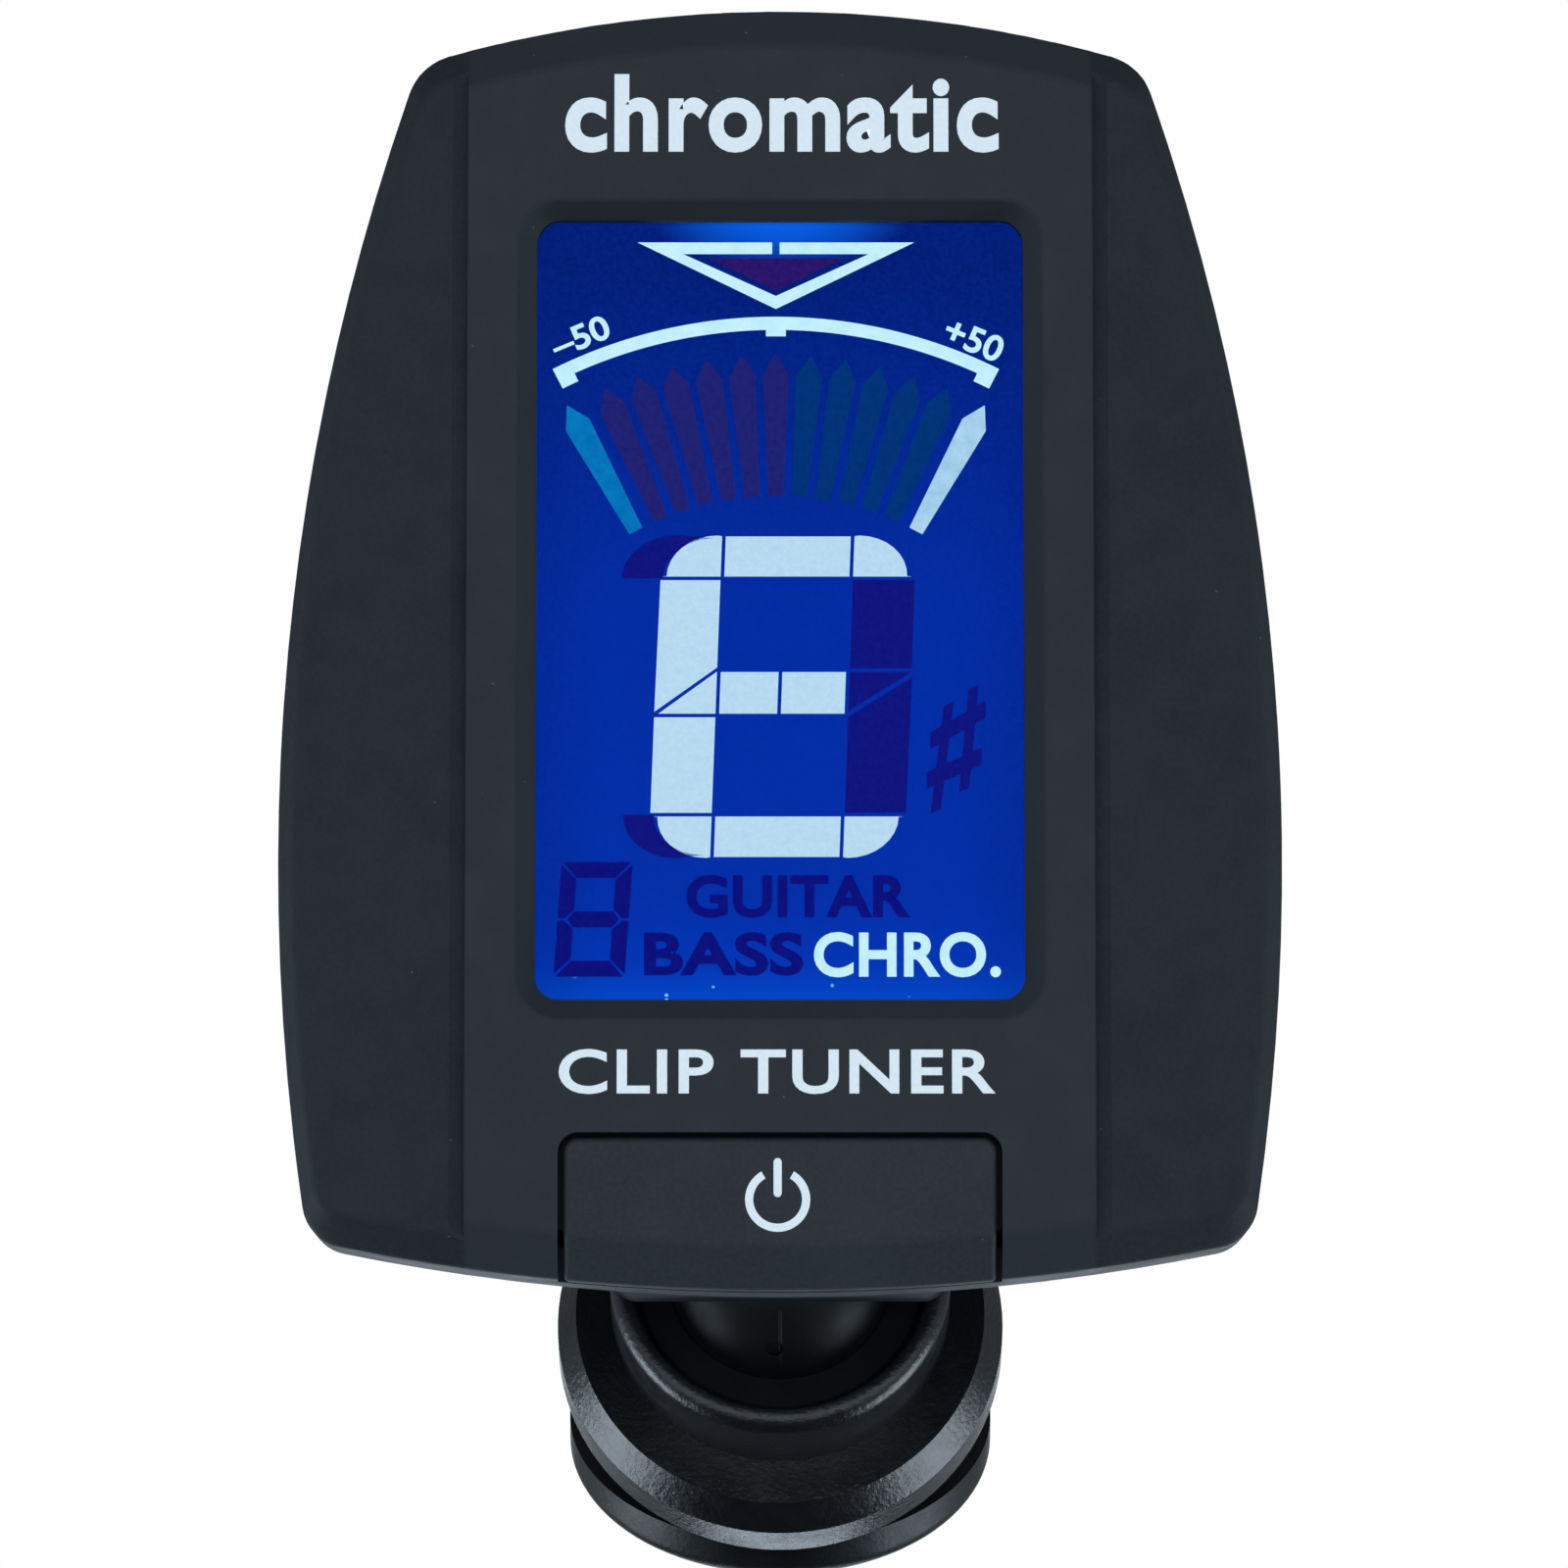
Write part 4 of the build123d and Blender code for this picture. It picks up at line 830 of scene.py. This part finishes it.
# The strokes' faces lie just behind the uprights' faces, so that no two faces share a plane.
plates("display_sharp_strokes",
       [slanted_bar(SHARP_LOW_LEFT, SHARP_LOW_RIGHT, 0.0, -SHARP_STROKE_HALF),
        slanted_bar(SHARP_HIGH_LEFT, SHARP_HIGH_RIGHT, 0.0, -SHARP_STROKE_HALF)],
       SEGMENT_DEPTHS[0] + SHARP_STEP_BACK, SEGMENT_DEPTHS[1], PURPLE)

# Small digit: seven bars with mitred ends. Then the words beside it, each in a box.
DIGIT_X = -7.86
DIGIT_LOW = 13.39
DIGIT_HIGH = 18.27
DIGIT_HALF = 1.5
DIGIT_BAR = 0.68
DIGIT_LEAN = 0.07
DIGIT_GAP = 0.07
DIGIT_POINT = 0.6
GUITAR_BOX = (-3.95, 5.5, 15.89, 17.73)
BASS_BOX = (-5.72, 0.98, 13.43, 15.29)
CHROMATIC_BOX = (1.42, 9.28, 13.37, 15.29)


def digit_bars():
    """The seven bars, upright and centred on x = 0 before they lean."""
    half, thick, gap = DIGIT_HALF, DIGIT_BAR, DIGIT_GAP
    low, high = DIGIT_LOW, DIGIT_HIGH
    mid = (low + high) / 2
    bars = [
        [(-half + gap, high), (half - gap, high),
         (half - thick, high - thick), (-half + thick, high - thick)],
        [(-half + gap, low), (half - gap, low),
         (half - thick, low + thick), (-half + thick, low + thick)],
        [(-half + thick * DIGIT_POINT, mid), (-half + thick, mid + thick / 2),
         (half - thick, mid + thick / 2), (half - thick * DIGIT_POINT, mid),
         (half - thick, mid - thick / 2), (-half + thick, mid - thick / 2)],
    ]
    for side in (-1, 1):
        outer = side * half
        inner = side * (half - thick)
        point = side * (half - thick * (1 - DIGIT_POINT))
        for end, inward in ((high, -1), (low, 1)):
            bars.append([(outer, end + inward * gap * 1.5), (outer, mid - inward * gap),
                         (point, mid - inward * gap * 0.5), (inner, mid - inward * (thick / 2 + gap)),
                         (inner, end + inward * (thick + gap))])
    return [[(DIGIT_X + x + DIGIT_LEAN * (z - mid), z) for x, z in one] for one in bars]


segments("display_small_digit", digit_bars(), WORD_DIM)
lettering("display_word_guitar", "GUITAR", GUITAR_BOX, SEGMENT_DEPTHS, WORD_DIM, DIM_WORD_WEIGHT,
          DIM_WORD_SPACING)
lettering("display_word_bass", "BASS", BASS_BOX, SEGMENT_DEPTHS, WORD_DIM, DIM_WORD_WEIGHT,
          DIM_WORD_SPACING)
lettering("display_word_chromatic", "CHRO.", CHROMATIC_BOX, SEGMENT_DEPTHS, LIT_BRIGHT, LIT_WORD_WEIGHT,
          LIT_WORD_SPACING)

# ---- White print on the housing ----
INK_DEPTHS = (-0.02, 0.01)
INK = white_ink_with_painted_glow("white_print_painted_glow")
TITLE_BOX = (-9.1, 9.25, 48.35, 51.75)
LABEL_BOX = (-9.25, 9.0, 8.12, 10.02)
lettering("print_title", "chromatic", TITLE_BOX, INK_DEPTHS, INK, weight=0.03, spacing=1.08)
lettering("print_label", "CLIP TUNER", LABEL_BOX, INK_DEPTHS, INK, weight=0.02, spacing=1.1)

# Power sign on the button: a ring that is open by so many degrees on each side of its top, and a bar.
POWER_X = -0.1
POWER_Z = 3.68
POWER_OUTER = 1.36
POWER_INNER = 1.02
POWER_OPEN = 30.0
POWER_BAR_HALF = 0.17
POWER_BAR_TOP = 5.42
POWER_BAR_FOOT = 3.78


def power_ring():
    start = 90 + POWER_OPEN
    end = 90 + 360 - POWER_OPEN
    return (arc(POWER_X, POWER_Z, POWER_OUTER, start, end, 40)
            + arc(POWER_X, POWER_Z, POWER_INNER, end, start, 40))


def power_bar():
    return (arc(POWER_X, POWER_BAR_TOP - POWER_BAR_HALF, POWER_BAR_HALF, 0, 180, 8)
            + arc(POWER_X, POWER_BAR_FOOT + POWER_BAR_HALF, POWER_BAR_HALF, 180, 360, 8))


plates("print_power_sign", [power_ring(), power_bar()], *INK_DEPTHS, INK, "button")

# ---- Coin cell's pole mark ----
PLUS_REACH = 1.6
PLUS_HALF = 0.22
PLUS_SUNK = 0.02
PLUS_PROUD = 0.03


def cell_mark():
    """A plus sign embossed on the cell's flat back: one arm across, and one half arm above and one below."""
    corner_low, corner_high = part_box("coin_cell")
    centre = (corner_low + corner_high) / 2
    x = centre.x / MM
    z = (centre.z - ZERO_Z) / MM
    back = (corner_high.y - FACE_Y) / MM
    arms = [[(x + across * side, z + rise) for side, rise in ((-1, low), (1, low), (1, high), (-1, high))]
            for across, low, high in ((PLUS_REACH, -PLUS_HALF, PLUS_HALF),
                                      (PLUS_HALF, PLUS_HALF, PLUS_REACH),
                                      (PLUS_HALF, -PLUS_REACH, -PLUS_HALF))]
    plates("cell_plus_mark", arms, back - PLUS_SUNK, back + PLUS_PROUD, CELL_STEEL)


cell_mark()

# ---- Torsion spring, as one wire coiled about the hinge ----
# Each leg ends against its jaw's lever, so far out from the hinge and so far up, and leans as its jaw does.
WIRE_RADIUS = 0.4
COIL_RADIUS = 2.6
COIL_PITCH = 1.0
COIL_TURNS = 5
STEPS_PER_TURN = 48
LEG_REACH = 6.55
LEG_RISE = 8.0
FRONT_LEAN = 15.0
REAR_LEAN = 46.0


def turned(y, z, degrees):
    """A direction in y and z, leaned back by an angle."""
    swing = math.radians(degrees)
    return (y * math.cos(swing) + z * math.sin(swing), -y * math.sin(swing) + z * math.cos(swing))


def spring_path():
    """The wire's centre line about the hinge, in millimetres of x, y and z."""
    front = turned(-LEG_REACH, LEG_RISE, FRONT_LEAN)
    rear = turned(LEG_REACH, LEG_RISE, REAR_LEAN)
    half = math.acos(COIL_RADIUS / math.hypot(*front))
    start = math.atan2(front[1], front[0]) + half
    end = math.atan2(rear[1], rear[0]) - half + 2 * math.pi * COIL_TURNS
    length = (end - start) / (2 * math.pi) * COIL_PITCH
    steps = STEPS_PER_TURN * COIL_TURNS
    path = [(-length / 2, *front)]
    for index in range(steps + 1):
        share = index / steps
        angle = start + (end - start) * share
        path.append((-length / 2 + length * share,
                     COIL_RADIUS * math.cos(angle), COIL_RADIUS * math.sin(angle)))
    return path + [(length / 2, *rear)]


def spring_wire():
    """The wire, put in place of the torsion spring's CAD node."""
    hinge = Vector(JOINTS["jaw_hinge"]["pos_m"])
    curve = bpy.data.curves.new("spring_line", "CURVE")
    curve.dimensions = "3D"
    curve.bevel_depth = WIRE_RADIUS * MM
    curve.bevel_resolution = 5
    curve.use_fill_caps = True
    points = [hinge + Vector(point) * MM for point in spring_path()]
    spline = curve.splines.new("POLY")
    spline.points.add(len(points) - 1)
    for target, point in zip(spline.points, points):
        target.co = (*point, 1.0)
    mesh = mesh_of(curve, "spring_wire")
    for polygon in mesh.polygons:
        polygon.use_smooth = True
    piece = link_piece("spring_wire", mesh, STEEL)
    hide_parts("torsion_spring")
    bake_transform(piece)


spring_wire()

# ---- Floor, light and camera ----
FLOOR_DEPTH_M = 0.9
FLOOR_RADIUS_M = 60.0
FLOOR_SIDES = 96
FLOOR_CLOUDS_PER_MM = 0.00002


def make_floor():
    """A pale round floor far below the object; it gives the object no light, shadow or reflection."""
    bm = bmesh.new()
    bmesh.ops.create_circle(bm, cap_ends=True, segments=FLOOR_SIDES, radius=FLOOR_RADIUS_M)
    mesh = bpy.data.meshes.new("floor")
    bm.to_mesh(mesh)
    bm.free()
    floor = bpy.data.objects.new("floor", mesh)
    floor.location = (0.0, 0.0, -FLOOR_DEPTH_M)
    bpy.context.scene.collection.objects.link(floor)
    g = Graph("pale_floor")
    g.fixed(Specular_IOR_Level=0.1, Roughness=0.9)
    g.fixed(Emission_Color=(1.0, 0.99, 0.97, 1.0), Emission_Strength=0.7)
    clouds = g.noise(FLOOR_CLOUDS_PER_MM, detail=2.0)
    g.colour(g.mix(clouds, (0.80, 0.79, 0.77, 1.0), (0.84, 0.83, 0.81, 1.0)))
    mesh.materials.append(g.material)
    floor.visible_glossy = False
    floor.visible_diffuse = False
    floor.visible_transmission = False
    floor.visible_shadow = False


# The surround's level in front, at the sides and in the middle of the back, and the share of it that is left
# at the back's sides, above and below.
FRONT_LEVEL = 0.95
SIDE_LEVEL = 0.25
BACK_LEVEL = 2.2
BACK_ASIDE_SHARE = 0.12
TOP_SHARE = 0.3
LOW_SHARE = 0.06
SURROUND = (0.88, 1.0, 1.1, 1.0)
# Where each of them fades in or out, along x, y or z of the direction looked in.
FRONT_FADE = (-0.85, -0.3)
BACK_FADE = (0.35, 0.9)
BACK_HALF_FADE = (0.2, 0.6)
ASIDE_FADE = (0.08, 0.32)
TOP_FADE = (0.15, 0.8)
LOW_FADE = (-0.5, -0.18)


def make_world():
    """Studio surround: white as the camera sees it; for light it is brightest behind, dim above and below."""
    world = bpy.data.worlds.new("studio")
    bpy.context.scene.world = world
    world.use_nodes = True
    tree = world.node_tree
    tree.nodes.clear()

    def fade(source, ends, low, high):
        return map_range(tree, source, ends, (low, high), smooth=True)

    def product(first, second):
        node = add_node(tree, "ShaderNodeMath", operation="MULTIPLY")
        tree.links.new(first, node.inputs[0])
        tree.links.new(second, node.inputs[1])
        return node.outputs[0]

    direction = add_node(tree, "ShaderNodeTexCoord")
    axes = add_node(tree, "ShaderNodeSeparateXYZ")
    tree.links.new(direction.outputs["Generated"], axes.inputs[0])
    x, y, z = axes.outputs
    front = fade(y, FRONT_FADE, FRONT_LEVEL, SIDE_LEVEL)
    behind = fade(y, BACK_FADE, 1.0, BACK_LEVEL / SIDE_LEVEL)
    distance = add_node(tree, "ShaderNodeMath", operation="ABSOLUTE")
    tree.links.new(x, distance.inputs[0])
    narrow = add_node(tree, "ShaderNodeMix", data_type="FLOAT")
    narrow.inputs["A"].default_value = 1.0
    tree.links.new(fade(y, BACK_HALF_FADE, 0.0, 1.0), narrow.inputs["Factor"])
    tree.links.new(fade(distance.outputs[0], ASIDE_FADE, 1.0, BACK_ASIDE_SHARE), narrow.inputs["B"])
    above = fade(z, TOP_FADE, 1.0, TOP_SHARE)
    below = fade(z, LOW_FADE, LOW_SHARE, 1.0)
    level = product(product(product(front, behind), narrow.outputs[0]), product(above, below))
    light = add_node(tree, "ShaderNodeBackground")
    light.inputs["Color"].default_value = SURROUND
    tree.links.new(level, light.inputs["Strength"])
    backdrop = add_node(tree, "ShaderNodeBackground")
    backdrop.inputs["Color"].default_value = (1.0, 1.0, 1.0, 1.0)
    path = add_node(tree, "ShaderNodeLightPath")
    choice = add_node(tree, "ShaderNodeMixShader")
    tree.links.new(path.outputs["Is Camera Ray"], choice.inputs[0])
    tree.links.new(light.outputs[0], choice.inputs[1])
    tree.links.new(backdrop.outputs[0], choice.inputs[2])
    output = add_node(tree, "ShaderNodeOutputWorld")
    tree.links.new(choice.outputs[0], output.inputs["Surface"])


OBJECT_CENTRE = place(0.0, 8.0, 22.0)
COOL = (0.86, 1.0, 1.13)
# Name, place and size in metres, and watts.
SOFTBOXES = (
    ("box_left", (-0.78, 0.14, -0.38), (0.6, 0.5), 3.6),
    ("box_right", (0.74, 0.1, -0.44), (0.65, 0.5), 3.5),
    ("box_behind", (0.0, 0.8, -0.62), (0.5, 0.3), 1.2),
)


def softbox(name, location, size, watts):
    """A rectangular area light aimed at the object."""
    light = bpy.data.lights.new(name, "AREA")
    light.shape = "RECTANGLE"
    light.size, light.size_y = size
    light.energy = watts
    light.color = COOL
    lamp = bpy.data.objects.new(name, light)
    lamp.location = location
    lamp.rotation_mode = "QUATERNION"
    lamp.rotation_quaternion = (OBJECT_CENTRE - Vector(location)).to_track_quat("-Z", "Y")
    lamp.visible_camera = False
    bpy.context.scene.collection.objects.link(lamp)


# The camera looks up by so many degrees, from so far away.
CAMERA_TARGET = (0.165, 0.0, 21.25)
CAMERA_DISTANCE = 500.0
CAMERA_BELOW = 9.6
SENSOR_WIDTH = 36.0
FOCAL_LENGTH = 273.7


def make_camera():
    """Straight in front, looking slightly up at the object."""
    data = bpy.data.cameras.new("camera")
    data.sensor_width = SENSOR_WIDTH
    data.lens = FOCAL_LENGTH
    data.clip_start = 0.01
    data.clip_end = 200.0
    camera = bpy.data.objects.new("camera", data)
    swing = math.radians(CAMERA_BELOW)
    target = place(*CAMERA_TARGET)
    camera.location = target + Vector((0.0, -math.cos(swing), -math.sin(swing))) * CAMERA_DISTANCE * MM
    camera.rotation_mode = "QUATERNION"
    camera.rotation_quaternion = (target - camera.location).to_track_quat("-Z", "Y")
    bpy.context.scene.collection.objects.link(camera)
    bpy.context.scene.camera = camera


make_floor()
make_world()
for settings in SOFTBOXES:
    softbox(*settings)
make_camera()
bpy.context.scene.view_settings.view_transform = "Standard"
